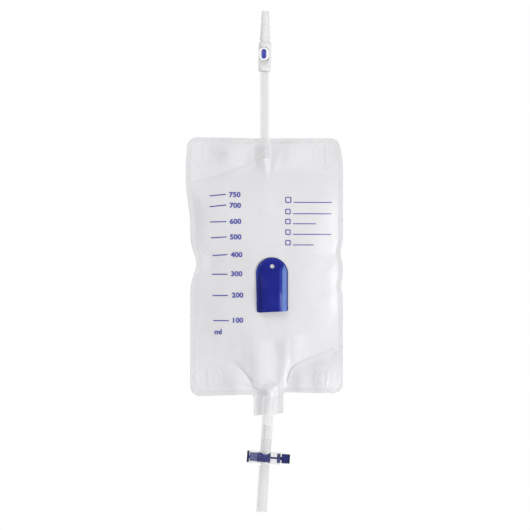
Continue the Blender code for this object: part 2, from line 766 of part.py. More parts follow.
def build_spool(frame):
    navy = {"colour": (0.025, 0.03, 0.22), "roughness": 0.3, "frame": frame}
    left_seal, right_seal, end_seal = seal_centres()
    core_end = -BARREL_HALF_LENGTH
    profile = [
        (0.0, KNOB_START + PEG_GRIP),
        (PEG_RADIUS, KNOB_START + PEG_GRIP),
        (PEG_RADIUS, END_LAND_RIGHT),
        (LAND_RADIUS, END_LAND_RIGHT),
        *groove(end_seal),
        (LAND_RADIUS, END_LAND_LEFT),
        (ROD_RADIUS, END_LAND_LEFT),
        (ROD_RADIUS, LAND_RIGHT),
        (LAND_RADIUS, LAND_RIGHT),
        *groove(right_seal),
        *groove(left_seal),
        (LAND_RADIUS, LAND_LEFT),
        (CORE_RADIUS, LAND_LEFT),
        (CORE_RADIUS, core_end),
        (PEG_RADIUS, core_end),
        (PEG_RADIUS, core_end - CLEARANCE - DISC_PEG),
        (0.0, core_end - CLEARANCE - DISC_PEG),
    ]
    along_barrel(turned("tap_spool", profile, **navy))

    knob_end = KNOB_START + KNOB_LENGTH
    rim = knob_end - KNOB_RIM
    socket, socket_end = PEG_RADIUS + CLEARANCE, KNOB_START + PEG_GRIP + CLEARANCE
    knob_profile = (
        (0.0, knob_end),
        (LAND_RADIUS, knob_end),
        (LAND_RADIUS, rim),
        (LAND_RADIUS - KNOB_GROOVE, rim),
        (LAND_RADIUS - KNOB_GROOVE, rim - KNOB_GROOVE),
        (LAND_RADIUS, rim - 2 * KNOB_GROOVE),
        (LAND_RADIUS, KNOB_START),
        (socket, KNOB_START),
        (socket, socket_end),
        (0.0, socket_end),
    )
    along_barrel(turned("tap_push_knob", knob_profile, **navy))

    disc_face = core_end - CLEARANCE
    socket_end = disc_face - DISC_PEG - CLEARANCE
    disc_profile = (
        (0.0, socket_end),
        (socket, socket_end),
        (socket, disc_face),
        (DISC_RADIUS, disc_face),
        (DISC_RADIUS, disc_face - DISC_THICKNESS),
        (0.0, disc_face - DISC_THICKNESS),
    )
    along_barrel(turned("tap_end_disc", disc_profile, **navy))

    outer = BORE_RADIUS - SEAL_CLEARANCE
    rubber = {"colour": (0.03, 0.04, 0.20), "roughness": 0.6, "frame": frame}
    for number, centre in enumerate(seal_centres(), 1):
        low, high = centre - SEAL_WIDTH / 2, centre + SEAL_WIDTH / 2
        ring = ring_profile(outer, outer - SEAL_DEPTH, low, high)
        along_barrel(turned(f"spool_seal_{number}", ring, closed=True, **rubber))


def main():
    build_films()
    build_reflux_valve()
    build_inlet_tube()
    build_connector()
    build_pocket()
    frame = frame_at("tap_frame", (TAP_X, 0.0, -TAP_DROP), (0.0, LINE_TILT, 0.0))
    build_outlet_line(frame)
    build_tap_body(frame)
    build_spool(frame)


main()
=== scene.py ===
import math

import bmesh
import bpy
import numpy as np
from mathutils import Matrix, Vector
from mathutils.geometry import delaunay_2d_cdt


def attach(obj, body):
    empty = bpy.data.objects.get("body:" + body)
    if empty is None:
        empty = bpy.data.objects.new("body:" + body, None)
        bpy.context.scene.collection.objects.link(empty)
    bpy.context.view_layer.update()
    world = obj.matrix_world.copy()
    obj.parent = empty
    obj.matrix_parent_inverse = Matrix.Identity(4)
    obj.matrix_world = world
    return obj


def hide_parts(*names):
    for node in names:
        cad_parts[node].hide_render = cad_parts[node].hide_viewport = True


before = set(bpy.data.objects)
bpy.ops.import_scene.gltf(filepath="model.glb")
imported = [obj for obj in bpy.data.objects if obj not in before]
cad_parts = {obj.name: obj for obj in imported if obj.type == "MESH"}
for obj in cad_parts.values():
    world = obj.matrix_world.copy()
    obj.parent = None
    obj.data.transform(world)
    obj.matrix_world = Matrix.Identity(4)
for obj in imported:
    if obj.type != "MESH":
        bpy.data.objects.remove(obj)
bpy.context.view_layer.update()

scene = bpy.context.scene


# THE VIEWPOINT
# A long lens looks straight at the front of the hanging bag, level with the middle of the picture.
# There is no cord: both tubes are short and held.
metres_per_pixel = 0.0009
picture_side = 530
picture_middle = Vector((0.0004, 0.0, -0.0990))
stand_off = 2.6


def added(name, data):
    """A new object, put into the scene."""
    thing = bpy.data.objects.new(name, data)
    scene.collection.objects.link(thing)
    return thing


lens = bpy.data.cameras.new("viewpoint")
lens.sensor_width = 36.0
lens.lens = lens.sensor_width * stand_off / (picture_side * metres_per_pixel)
viewpoint = added("viewpoint", lens)
viewpoint.location = picture_middle - Vector((0.0, stand_off, 0.0))
viewpoint.rotation_euler = (math.pi / 2, 0.0, 0.0)
scene.camera = viewpoint
scene.view_settings.view_transform = "Standard"
scene.cycles.transparent_max_bounces = 40


# THE STUDIO
# A pale floor lies far below the hanging bag. A tall soft lamp stands low on the right in front, a small weak
# one high on the left, and an even white surrounding shows as the backdrop.
floor_height = -1.05
floor_half = 5.0
shaded_reach, white_reach = 0.45, 0.95
floor_shadow_share = 0.4
ambient = 0.42


def studio_lamp(name, place, aim, width, height, power):
    glow = bpy.data.lights.new(name, "AREA")
    glow.shape = "RECTANGLE"
    glow.size, glow.size_y = width, height
    glow.energy = power
    lamp = added(name, glow)
    lamp.location = place
    lamp.rotation_euler = (Vector(aim) - Vector(place)).to_track_quat("-Z", "Y").to_euler()


studio_lamp("soft_lamp_right", (1.00, -0.78, -0.45), (0.0, 0.0, -0.12), 0.42, 0.9, 15.0)
studio_lamp("soft_lamp_left", (-0.55, -0.50, 0.42), (0.0, 0.0, 0.05), 0.4, 0.4, 3.3)


def feed(node, **values):
    """Sets inputs of a node, each named with _ for a space."""
    for socket, value in values.items():
        node.inputs[socket.replace("_", " ")].default_value = value


def arithmetic(nodes, links, operation, *sources):
    """One step of arithmetic in a node tree, on sockets and numbers."""
    step = nodes.new("ShaderNodeMath")
    step.operation = operation
    for slot, source in zip(step.inputs, sources):
        if isinstance(source, float):
            slot.default_value = source
        else:
            links.new(source, slot)
    return step.outputs[0]


def seen_directly(nodes, links):
    """1 where a ray comes from the lens, from a reflection or through something clear, otherwise 0."""
    path = nodes.new("ShaderNodeLightPath").outputs
    first = arithmetic(nodes, links, "MAXIMUM", path["Is Camera Ray"], path["Is Glossy Ray"])
    return arithmetic(nodes, links, "MAXIMUM", first, path["Is Transmission Ray"])


def mix_to(end, nodes, links, share, first, second):
    """Sends a mix of two shaders to the end of a node tree; the share is that of the second."""
    mix = nodes.new("ShaderNodeMixShader")
    for slot, source in zip(mix.inputs, (share, first.outputs[0], second.outputs[0])):
        links.new(source, slot)
    links.new(mix.outputs[0], nodes[end].inputs["Surface"])


world = bpy.data.worlds.new("white_surrounding")
world.use_nodes = True
scene.world = world
nodes, links = world.node_tree.nodes, world.node_tree.links
even, backdrop = nodes["Background"], nodes.new("ShaderNodeBackground")
feed(even, Color=(0.99, 0.98, 1.0, 1.0), Strength=ambient)
feed(backdrop, Color=(1.0, 1.0, 1.0, 1.0), Strength=1.0)
mix_to("World Output", nodes, links, seen_directly(nodes, links), even, backdrop)

floor_mesh = bpy.data.meshes.new("floor")
floor_mesh.from_pydata(
    [(x * floor_half, y * floor_half, floor_height) for x, y in ((-1, -1), (1, -1), (1, 1), (-1, 1))],
    [], [(0, 1, 2, 3)],
)
floor = added("floor", floor_mesh)
paint = bpy.data.materials.new("pale_floor")
paint.use_nodes = True
nodes, links = paint.node_tree.nodes, paint.node_tree.links
matt = nodes["Principled BSDF"]
feed(matt, Base_Color=(0.93, 0.93, 0.93, 1.0), Roughness=0.8)
away = nodes.new("ShaderNodeVectorMath")
away.operation = "LENGTH"
links.new(nodes.new("ShaderNodeTexCoord").outputs["Object"], away.inputs[0])
fading = nodes.new("ShaderNodeMapRange")
fading.interpolation_type = "SMOOTHSTEP"
feed(
    fading, To_Min=1.0 - floor_shadow_share, To_Max=1.0,
    From_Min=math.hypot(shaded_reach, floor_height), From_Max=math.hypot(white_reach, floor_height),
)
links.new(away.outputs["Value"], fading.inputs["Value"])
share = arithmetic(nodes, links, "MULTIPLY", seen_directly(nodes, links), fading.outputs["Result"])
mix_to("Material Output", nodes, links, share, matt, nodes.new("ShaderNodeEmission"))
floor_mesh.materials.append(paint)


# THE TWO BAG FILMS
# The bag is two sheets of soft clear film, welded to each other round their edge and round the four strap
# slits. A little air puffs them, the tubes push them apart, and handling has left soft folds.
film = 0.0003
weld_width, free_from_edge, free_from_slit = 0.0045, 0.009, 0.006
half_width = 0.0708
top_left, top_middle = 0.0162, 0.0149
bottom = top_middle - 0.2304
bottom_left, bottom_right, bottom_neck = bottom - 0.0017, bottom + 0.0010, bottom + 0.0021
corner_radius = 0.0090
front_puff, back_puff = 0.0070, 0.0058
puff_reach, lower_reach = 0.040, 0.055
upper_fold_z, upper_fold_left_fall, upper_fold_right_fall = -0.0080, 0.0180, 0.0110
lower_fold_points = np.array((
    (-0.0750, 0.0420), (-0.0380, 0.0290), (-0.0249, 0.0229), (-0.0168, 0.0121), (-0.0135, 0.0055),
    (-0.0090, 0.0), (0.0100, 0.0), (0.0150, 0.0055), (0.0172, 0.0122), (0.0196, 0.0202), (0.0237, 0.0256),
    (0.0282, 0.0292), (0.0669, 0.0400),
))
upper_left_reach, lower_left_reach, left_reach_top, left_reach_span = 0.030, 0.062, -0.045, 0.065
left_pulls = ((0.0150, 0.014, 0.0015), (-0.0977, 0.013, 0.0055))
right_pulls = ((0.0150, 0.014, 0.0040), (-0.0880, 0.008, 0.0022), (-0.1180, 0.007, 0.0016))
waist_depth, waist_top, waist_bottom = 0.0040, -0.022, -0.064

line_tilt = math.radians(3.8)
tap_x, tap_z = 0.0005, bottom - 0.0567
neck_half, neck_end, neck_skew, neck_fillet = 0.0134, bottom - 0.0190, 0.0022, 0.0030
neck_shift, neck_seam, straight_end = 0.0006, 0.0035, 0.0135
inlet_radius, inlet_end = 0.0041, top_middle - 0.0180
inlet_left_foot, inlet_right_foot = 0.0090, 0.0058
outlet_radius, outlet_left_foot, outlet_right_foot = 0.0052, 0.0106, 0.0074
outlet_high = 0.0590
outlet_top = outlet_high * math.cos(line_tilt) + tap_z
valve_half, valve_top, valve_low = 0.0165, top_middle - 0.0069, inlet_end - 0.0162
valve_beside, valve_narrowing = 0.0160, 0.0085
tube_play = 0.0003
drape_reach, outlet_lean, joining = 0.013, 0.0030, 0.0035
left_widening, right_widening = 0.0240, 0.0080
inlet_taper, inlet_lean, inlet_closing = 0.0270, 0.0030, 0.6

slit_half, slit_gap, slit_ring = 0.0081, 0.00004, 0.0110
slits = (
    (-0.0551, 0.0, 0.0),
    (0.0551, 0.0, 0.0),
    (-0.0508, bottom + 0.0145, -math.radians(4)),
    (0.0560, bottom + 0.0145, math.radians(4)),
)


def ease(share):
    """Starts and ends level."""
    share = np.clip(share, 0.0, 1.0)
    return share * share * (3.0 - 2.0 * share)


def rise(share):
    """Starts steeply, like a film leaving its weld, and ends level."""
    return 1.0 - (1.0 - np.clip(share, 0.0, 1.0)) ** 2


def ridge(distance, width):
    """1 on a line, falling away smoothly over about one width."""
    return np.exp(-((distance / width) ** 2))


def pulled(z, pulls):
    """How far an edge is drawn in, from the height, span and depth of each pull."""
    return sum(depth * ridge(z - height, span) for height, span, depth in pulls)


def left_edge(z):
    waist = waist_depth * ease((waist_top - z) / (waist_top - waist_bottom))
    return -half_width + waist + pulled(z, left_pulls)


def right_edge(z):
    return half_width - pulled(z, right_pulls)


def line_x(z):
    """Where the axis of the outlet line passes at a height."""
    return tap_x + math.tan(line_tilt) * (z - tap_z)


def pairs(x, z):
    return np.stack([x, z], axis=1)


def rounded(corners, steps):
    """A closed outline through (a, b, radius) corners, each turned as an arc of that radius."""
    outline = []
    for index, (a, b, radius) in enumerate(corners):
        if radius <= 0.0:
            outline.append((a, b))
            continue
        corner = Vector((a, b))
        back = (Vector(corners[index - 1][:2]) - corner).normalized()
        ahead = (Vector(corners[(index + 1) % len(corners)][:2]) - corner).normalized()
        half = back.angle(ahead) / 2
        centre = corner + (back + ahead).normalized() * radius / math.sin(half)
        start = corner + back * radius / math.tan(half) - centre
        sweep = start.angle_signed(corner + ahead * radius / math.tan(half) - centre)
        for step in range(steps + 1):
            turn = math.atan2(start.y, start.x) - sweep * step / steps
            outline.append((centre.x + radius * math.cos(turn), centre.y + radius * math.sin(turn)))
    return outline


def passed(line):
    """How far along a line each of its points lies."""
    return np.concatenate([[0.0], np.cumsum(np.hypot(*np.diff(line, axis=0).T))])


def points_at(line, places):
    """Points at the given distances along a line."""
    along = passed(line)
    return pairs(np.interp(places, along, line[:, 0]), np.interp(places, along, line[:, 1]))


def evenly(outline, pitch):
    """The same closed outline with points about one pitch apart."""
    line = np.array(outline + outline[:1])
    length = passed(line)[-1]
    return points_at(line, np.linspace(0.0, length, round(length / pitch), endpoint=False))


def bag_outline():
    neck_x = line_x(bottom) - neck_shift
    heights = np.linspace(top_middle - straight_end, bottom + straight_end, 90)
    corners = [
        (left_edge(top_left), top_left, corner_radius),
        (-0.0085, top_middle, 0.0),
        (right_edge(top_middle), top_middle, corner_radius),
        *((right_edge(z), z, 0.0) for z in heights),
        (right_edge(bottom), bottom_right, corner_radius),
        (neck_x + neck_half, bottom_neck, neck_fillet),
        (neck_x + neck_half, neck_end + neck_skew, 0.0),
        (neck_x - neck_half, neck_end, 0.0),
        (neck_x - neck_half, bottom, neck_fillet),
        (left_edge(bottom), bottom_left, corner_radius),
        *((left_edge(z), z, 0.0) for z in heights[::-1]),
    ]
    return rounded([tuple(float(v) for v in corner) for corner in corners], 14)


rim_line = evenly(bag_outline(), 0.0009)


def from_loop(x, z, loop):
    """Distance from points to a closed line of short, even steps."""
    loop = np.asarray(loop, float)
    points = pairs(np.ravel(x), np.ravel(z))
    nearest = np.empty(len(points), int)
    for first in range(0, len(points), 4000):
        some = points[first:first + 4000]
        square = (loop**2).sum(axis=1) - 2 * some @ loop.T
        nearest[first:first + 4000] = square.argmin(axis=1)
    away = np.full(len(points), np.inf)
    for start in (nearest - 1, nearest):
        span = loop[(start + 1) % len(loop)] - loop[start]
        offset = points - loop[start]
        share = np.clip((offset * span).sum(axis=1) / (span**2).sum(axis=1), 0.0, 1.0)
        away = np.minimum(away, np.hypot(*(offset - share[:, None] * span).T))
    return away.reshape(np.shape(x))


def from_line(x, z, line):
    """Distance from points to a line, which side they are on, and how far along it they lie, from 0 to 1."""
    line = np.asarray(line, float)
    points = pairs(np.ravel(x), np.ravel(z))
    spans = np.diff(line, axis=0)
    lengths = np.hypot(*spans.T)
    nearest, side, along = np.full(len(points), np.inf), np.zeros(len(points)), np.zeros(len(points))
    for start, span, length, before in zip(line, spans, lengths, passed(line)):
        offset = points - start
        share = np.clip(offset @ span / length**2, 0.0, 1.0)
        distance = np.hypot(*(offset - share[:, None] * span).T)
        closer = distance < nearest
        nearest = np.where(closer, distance, nearest)
        side = np.where(closer, np.sign(span[0] * offset[:, 1] - span[1] * offset[:, 0]), side)
        along = np.where(closer, (before + share * length) / lengths.sum(), along)
    return [found.reshape(np.shape(x)) for found in (nearest, side, along)]


def from_slit(x, z):
    """Distance from points to the middle of the nearest slit."""
    return np.min([np.hypot(x - slit_x, z - slit_z) for slit_x, slit_z, _ in slits], axis=0)


# Soft folds on each film, in millimetres: the line of the crest, how far it stands out, or in where that is
# less than 0, and how far it reaches on the left and on the right of someone who follows the line.
left_crease = ((-21.2, -193.5), (-16.7, -198), (-13.1, -204), (-10.4, -211))
right_crease = (
    (71, -174.6), (59, -178.2), (42.7, -182.3), (32.8, -185.9), (27.4, -190.3), (23.3, -195.3), (21, -202.5)
)
front_folds = (
    (((-69, -23.4), (-58, -19.8), (-44.6, -16.2), (-31, -12.6), (-9, -6.0)), -1.2, 7.0, 2.6),
    (((70, -26), (60, -19.5), (48, -15), (30, -11), (14, -9)), -0.3, 1.8, 6.0),
    (((-6.5, 8), (-6.5, -6), (-3, -20)), 0.5, 3.0, 5.0),
    (((12, 8), (11, -4), (8, -16)), 1.1, 3.5, 4.0),
    (((-62, -30), (-56, -45), (-55, -72), (-54, -84)), 0.6, 12.0, 6.0),
    (((-51, -86), (-50.5, -97), (-51, -107)), -1.0, 9.0, 7.0),
    (((54, -27), (51, -50), (46, -72), (43, -90), (47, -112)), 0.9, 11.0, 9.0),
    (((69, -73), (67, -86), (69, -98)), 1.2, 2.0, 6.0),
    (((70, -101), (60, -104), (52, -109)), 0.3, 3.0, 3.0),
    (((-34, -187), (-26, -188), *left_crease, (-8.8, -217)), -0.8, 2.0, 7.0),
    (((7.6, -162), (8.6, -172), (10.6, -184), (10.4, -194), (9.4, -203), (8.8, -209)), -2.2, 6.0, 10.0),
    (((27, -156), (27, -172), (30, -192)), 1.9, 10.0, 7.0),
    ((*right_crease, (20.6, -212)), -1.7, 9.0, 3.4),
    (((-2, -205), (4, -204.5), (9, -208)), -0.7, 1.8, 1.8),
    (((-1.5, -206), (-4.5, -212), (-6, -218)), -0.2, 2.5, 2.5),
)
back_folds = (
    (((-70, -26), (-50, -19), (-26, -14), (-10, -10)), 0.5, 3.5, 2.0),
    (((70, -27), (52, -18), (28, -13), (12, -10)), 0.5, 2.0, 3.5),
    (((-61, -98), (-50, -99), (-38, -95)), -0.8, 3.0, 3.0),
    (((-30, -60), (-20, -110), (-26, -160)), 0.6, 9.0, 7.0),
    (((24, -50), (30, -95), (22, -150)), -0.6, 8.0, 8.0),
    (((70, -92), (58, -92), (46, -99)), 0.6, 3.0, 3.0),
    (((-67, -177), (-45, -187), (-23, -194), (-10, -212)), 0.4, 3.0, 4.0),
    (((70, -177), (48, -186), (27, -194), (17, -212)), 0.4, 4.0, 3.0),
    (((6, -170), (6, -190), (4, -212)), 1.0, 7.0, 7.0),
)

# Bends that both films share, where the welded corners and edges have curled forwards or back.
bends = (
    (((-51.8, 24), (-52, 4), (-53, -20)), -2.9, 10.0, 13.0),
    (((-29.5, 24), (-31, -1), (-37, -18)), 2.6, 12.0, 8.0),
    (((24.5, 24), (23, -5), (22, -20)), 2.4, 16.0, 9.0),
    (((71, 24), (71, -18)), 1.3, 2.0, 9.0),
    (((-25.3, -180), (-25.3, -228)), 2.2, 10.0, 9.0),
    (((-69, -178), (-69, -226)), 1.8, 12.0, 2.0),
    (((33, -184), (34.5, -228)), 2.3, 12.0, 7.0),
    (((53, -176), (52, -230)), 3.8, 15.0, 9.0),
    (((-62.5, -18), (-62.5, -85), (-62.5, -160)), 1.0, 16.0, 6.0),
    (((46, -92), (47, -125), (47, -152)), 0.8, 22.0, 34.0),
)


# Thin creases in the front film.
creases = (
    (((-69, -24.6), (-58, -21.0), (-44.6, -17.4), (-31, -13.8), (-20, -9.8), (-12, -7.2)), -0.50, 1.1, 1.1),
    (((-27, -188), *left_crease, (-9, -216)), -0.20, 1.1, 1.1),
    ((*right_crease, (20.6, -211)), -0.42, 1.1, 1.1),
    (((69, -101), (60, -104), (52, -109)), -0.12, 1.1, 1.1),
)


def folded(x, z, folds, growing=0.2, fading=0.2):
    """Height of the folds, which grow and fade over the first and last part of their lines."""
    total = np.zeros(np.shape(x))
    for crest, lift, reach_left, reach_right in folds:
        away, side, along = from_line(x, z, np.array(crest) / 1000)
        reach = np.where(side > 0, reach_left, reach_right) / 1000
        total += lift / 1000 * ridge(away, reach) * ease(along / growing) * ease((1.0 - along) / fading)
    return total


ripple_lattice = np.random.default_rng(11).uniform(-1.0, 1.0, (96, 96))


def ripple(x, z, span_x, span_z):
    """Smooth random waves, about one span from crest to trough."""
    a, b = x / span_x + 48.0, z / span_z + 60.0
    column, row = np.floor(a).astype(int), np.floor(b).astype(int)
    across, up = ease(a - column), ease(b - row)
    near = [[ripple_lattice[(row + j) % 96, (column + i) % 96] for i in (0, 1)] for j in (0, 1)]
    low = near[0][0] * (1 - across) + near[0][1] * across
    high = near[1][0] * (1 - across) + near[1][1] * across
    return low * (1 - up) + high * up


def over_tube(offset, radius, foot):
    """Height of a film drawn tight over a tube, whose feet meet at foot either side."""
    offset = np.abs(offset)
    crown = np.sqrt(np.maximum(radius**2 - offset**2, 0.0))
    flank = (foot - offset) * radius / np.sqrt(foot**2 - radius**2)
    return np.where(offset < radius**2 / foot, crown, np.maximum(flank, 0.0))


def over_inlet(x, z):
    """Height of a film over the inlet tube; below the tube's open end it narrows to a point."""
    taper = np.clip((inlet_end - z) / inlet_taper, 0.0, 1.0)
    foot = np.where(x < 0.0, inlet_left_foot, inlet_right_foot) * (1.0 - inlet_closing * taper)
    return over_tube(x - inlet_lean * taper, (inlet_radius + tube_play) * (1.0 - taper), foot)


def joined(one, other):
    """The higher of two heights, with the corner where they cross rounded off."""
    near = np.maximum(joining - np.abs(one - other), 0.0) / joining
    return np.maximum(one, other) + near**2 * np.clip(np.minimum(one, other), 0.0, joining) / 4


def pillow(x, z):
    """Share of the full puff, from 0 on the welds to 1 in the middle of the bag."""
    fall = np.where(x < 0.0, upper_fold_left_fall, upper_fold_right_fall)
    upper_fold = upper_fold_z - fall * np.minimum(np.abs(x) / half_width, 1.0)
    lower_fold = bottom + np.interp(x - line_x(bottom) + neck_shift, *lower_fold_points.T)
    widening = (lower_left_reach - upper_left_reach) * ease((left_reach_top - z) / left_reach_span)
    share = rise((x - left_edge(z) - weld_width) / (upper_left_reach + widening))
    share = share * rise((right_edge(z) - weld_width - x) / puff_reach)
    share = share * rise((upper_fold - z) / puff_reach) * rise((z - lower_fold) / lower_reach)
    return share * ease((from_slit(x, z) - slit_ring) / free_from_edge)


def film_inner(x, z, puff):
    """Half the space between the two films."""
    beside = 1.0 - ease((np.abs(x) - valve_half - tube_play) / valve_beside)
    beyond = ease((z - valve_low + valve_narrowing) / valve_narrowing)
    beyond = beyond * ease((valve_top + weld_width - z) / weld_width)
    inlet = (film + 2 * tube_play) * beside * beyond + over_inlet(x, z)
    reach = ease((outlet_top + drape_reach - z) / (drape_reach - tube_play))
    above = ease((z - outlet_top) / drape_reach)
    offset = x - line_x(z) + outlet_lean * above
    foot = np.where(offset < 0.0, outlet_left_foot, outlet_right_foot)
    widening = np.where(offset < 0.0, left_widening, right_widening)
    outlet = over_tube(offset, outlet_radius + 2 * tube_play, foot + widening * above) * reach
    return joined(joined(puff * pillow(x, z), inlet), outlet)


# Lines that the welding bar leaves along the edge and round the slits: how far from the edge or from the
# ring's own line, how high and how wide each of them is.
edge_lines = ((0.0008, 0.00018, 0.0006), (0.0025, 0.00006, 0.0005))
ring_lines = ((0.0, 0.00023, 0.0006), (-0.0016, 0.00006, 0.0005))
inner_line, inner_line_height, inner_line_top = 0.0046, 0.00004, 0.00008
lip_height, lip_width, bow, bow_length, bow_height = 0.00045, 0.0010, 0.0062, 0.0110, 0.00010


def weld_relief(x, z):
    """The relief that the welding bar leaves, and the distance to the edge."""
    rim = from_loop(x, z, rim_line)
    relief = sum(height * ridge(rim - place, width) for place, height, width in edge_lines)
    height = inner_line_height + inner_line_top * ease((z + 0.008) / 0.015)
    relief += height * ridge(rim - inner_line, 0.0006)
    for slit_x, slit_z, tilt in slits:
        right, up = x - slit_x, z - slit_z
        across = right * math.cos(tilt) - up * math.sin(tilt)
        along = right * math.sin(tilt) + up * math.cos(tilt)
        out = np.hypot(right, up) - slit_ring
        relief += sum(height * ridge(out - place, width) for place, height, width in ring_lines)
        within = ease((slit_half + 0.0012 - np.abs(along)) / 0.0025)
        relief += within * lip_height * ridge(across, lip_width)
        bowed = bow * np.clip(1.0 - (along / bow_length) ** 2, 0.0, 1.0)
        within = ease((bow_length - 0.0005 - np.abs(along)) / 0.004)
        relief += bow_height * ridge(np.abs(across) - bowed, 0.0008) * within
    return relief, rim


def film_face(x, z, puff, folds):
    """How far the outer face of a film stands from the weld plane."""
    relief, rim = weld_relief(x, z)
    free = ease((rim - weld_width) / free_from_edge) * ease((from_slit(x, z) - slit_ring) / free_from_slit)
    waves = 0.00050 * ripple(x, z, 0.017, 0.038) + 0.00010 * ripple(x + 0.3 * z, z, 0.0065, 0.014)
    return film + film_inner(x, z, puff) + relief + free * (folded(x, z, folds) + waves)


def front_face(x, z):
    curled = folded(x, z, bends, 0.5, 0.5)
    return film_face(x, z, front_puff, front_folds) + curled + folded(x, z, creases, 0.15, 0.1)


def back_face(x, z):
    return film_face(x, z, back_puff, back_folds) - folded(x, z, bends, 0.5, 0.5)


def arc(x, z, wide, high, count, half_turn):
    """Points round an oval, in steps of which half_turn make half a turn."""
    turns = [math.pi * step / half_turn for step in range(count)]
    return [(x + wide * math.cos(turn), z + high * math.sin(turn)) for turn in turns]


def slit_loop(slit):
    """The cut itself: a narrow lens with pointed ends."""
    slit_x, slit_z, tilt = slit
    cos, sin = math.cos(tilt), math.sin(tilt)
    lens = arc(0.0, 0.0, slit_half, slit_gap, 14, 14) + arc(0.0, 0.0, -slit_half, -slit_gap, 14, 14)
    return [(slit_x + side * cos + up * sin, slit_z - side * sin + up * cos) for up, side in lens]


def inset_points(loop, distances):
    """Points inside a closed loop, in rows that follow it at the given distances."""
    loop = np.asarray(loop)
    ahead = np.roll(loop, -1, axis=0) - np.roll(loop, 1, axis=0)
    inward = pairs(ahead[:, 1], -ahead[:, 0]) / np.hypot(*ahead.T)[:, None]
    rows = []
    for distance in distances:
        row = loop + inward * distance
        away = from_loop(row[:, 0], row[:, 1], loop)
        rows.append(row[away > distance - 0.00003])
    return np.vstack(rows)


def inside(x, z, loop):
    """Whether points lie inside a closed loop."""
    found = np.zeros(np.shape(x), bool)
    loop = np.asarray(loop)
    for (x0, z0), (x1, z1) in zip(loop, np.roll(loop, -1, axis=0)):
        if z0 != z1:
            crossed = (z0 > z) != (z1 > z)
            found ^= crossed & (x < (x1 - x0) * (z - z0) / (z1 - z0) + x0)
    return found


def hex_grid(low, high, pitch):
    """Points in even rows over a rectangle, every second row shifted by half a step."""
    rows = np.arange(low[1], high[1], pitch * math.sqrt(3) / 2)
    columns = np.arange(low[0], high[0], pitch)
    x = columns[None, :] + (np.arange(len(rows)) % 2)[:, None] * pitch / 2
    return x.ravel(), np.repeat(rows, len(columns))


def net(loops, spots):
    """Triangles over loops, the first round the outside and the others holes, and over free points inside."""
    points, edges, faces = [], [], []
    for loop in loops:
        first, count = len(points), len(loop)
        points.extend(Vector((float(a), float(b))) for a, b in loop)
        edges.extend((first + i, first + (i + 1) % count) for i in range(count))
        faces.append(list(range(first, first + count)))
    points.extend(Vector((float(a), float(b))) for a, b in spots)
    places, _, triangles, *_ = delaunay_2d_cdt(points, edges, [], 0, 1e-8)
    places = np.array([(p.x, p.y) for p in places])
    triangles = np.array(triangles)
    middle = places[triangles].mean(axis=1)
    kept = inside(middle[:, 0], middle[:, 1], loops[0])
    for loop in loops[1:]:
        kept &= ~inside(middle[:, 0], middle[:, 1], loop)
    return places, triangles[kept]


def sheet_piece(name, places, triangles, face, side, thickness):
    """A film over a net: its outer face at face(x, z), thickened inwards."""
    x, z = places.T
    points = np.stack([x, side * face(x, z), z], axis=1)
    mesh = bpy.data.meshes.new(name)
    outward = triangles if side < 0 else triangles[:, ::-1]
    mesh.from_pydata(points.tolist(), [], outward.tolist())
    mesh.shade_smooth()
    piece = added(name, mesh)
    skin = piece.modifiers.new("thickness", "SOLIDIFY")
    skin.thickness, skin.offset = thickness, -1.0
    return piece


def finish(name, tint, shade, roughness, grain, relief, broad=12.0, **sockets):
    """A finish whose colour and gloss drift between two values over a fine grain and a broad one. grain is
    the size of the fine one in metres, broad how many times larger the other is, relief how deep the fine one
    is, and what else is given is set on the shader."""
    made = bpy.data.materials.new(name)
    made.use_nodes = True
    nodes, links = made.node_tree.nodes, made.node_tree.links
    shader = nodes["Principled BSDF"]
    place = nodes.new("ShaderNodeTexCoord").outputs["Object"]
    fine, wide = nodes.new("ShaderNodeTexNoise"), nodes.new("ShaderNodeTexNoise")
    feed(fine, Scale=1.0 / grain, Detail=3.0)
    feed(wide, Scale=1.0 / (grain * broad), Detail=2.0)
    links.new(place, fine.inputs["Vector"])
    links.new(place, wide.inputs["Vector"])
    weight = arithmetic(nodes, links, "MULTIPLY", wide.outputs["Fac"], 0.6)
    blend = arithmetic(nodes, links, "MULTIPLY_ADD", fine.outputs["Fac"], 0.4, weight)
    ramp = nodes.new("ShaderNodeValToRGB")
    for stop, position, colour in zip(ramp.color_ramp.elements, (0.35, 0.65), (shade, tint)):
        stop.position, stop.color = position, (*colour, 1.0)
    links.new(blend, ramp.inputs["Fac"])
    links.new(ramp.outputs["Color"], shader.inputs["Base Color"])
    gloss = nodes.new("ShaderNodeMapRange")
    feed(gloss, From_Min=0.3, From_Max=0.7, To_Min=roughness * 0.82, To_Max=roughness * 1.18)
    links.new(blend, gloss.inputs["Value"])
    links.new(gloss.outputs["Result"], shader.inputs["Roughness"])
    bump = nodes.new("ShaderNodeBump")
    feed(bump, Strength=1.0, Distance=relief)
    links.new(fine.outputs["Fac"], bump.inputs["Height"])
    links.new(bump.outputs["Normal"], shader.inputs["Normal"])
    feed(shader, **sockets)
    return made


def patch(piece, looks, numbers):
    """Adds looks to those of a piece, and gives each of its faces the look with its number."""
    for look in looks:
        piece.data.materials.append(look)
    piece.data.polygons.foreach_set("material_index", np.asarray(numbers).astype(np.int32))


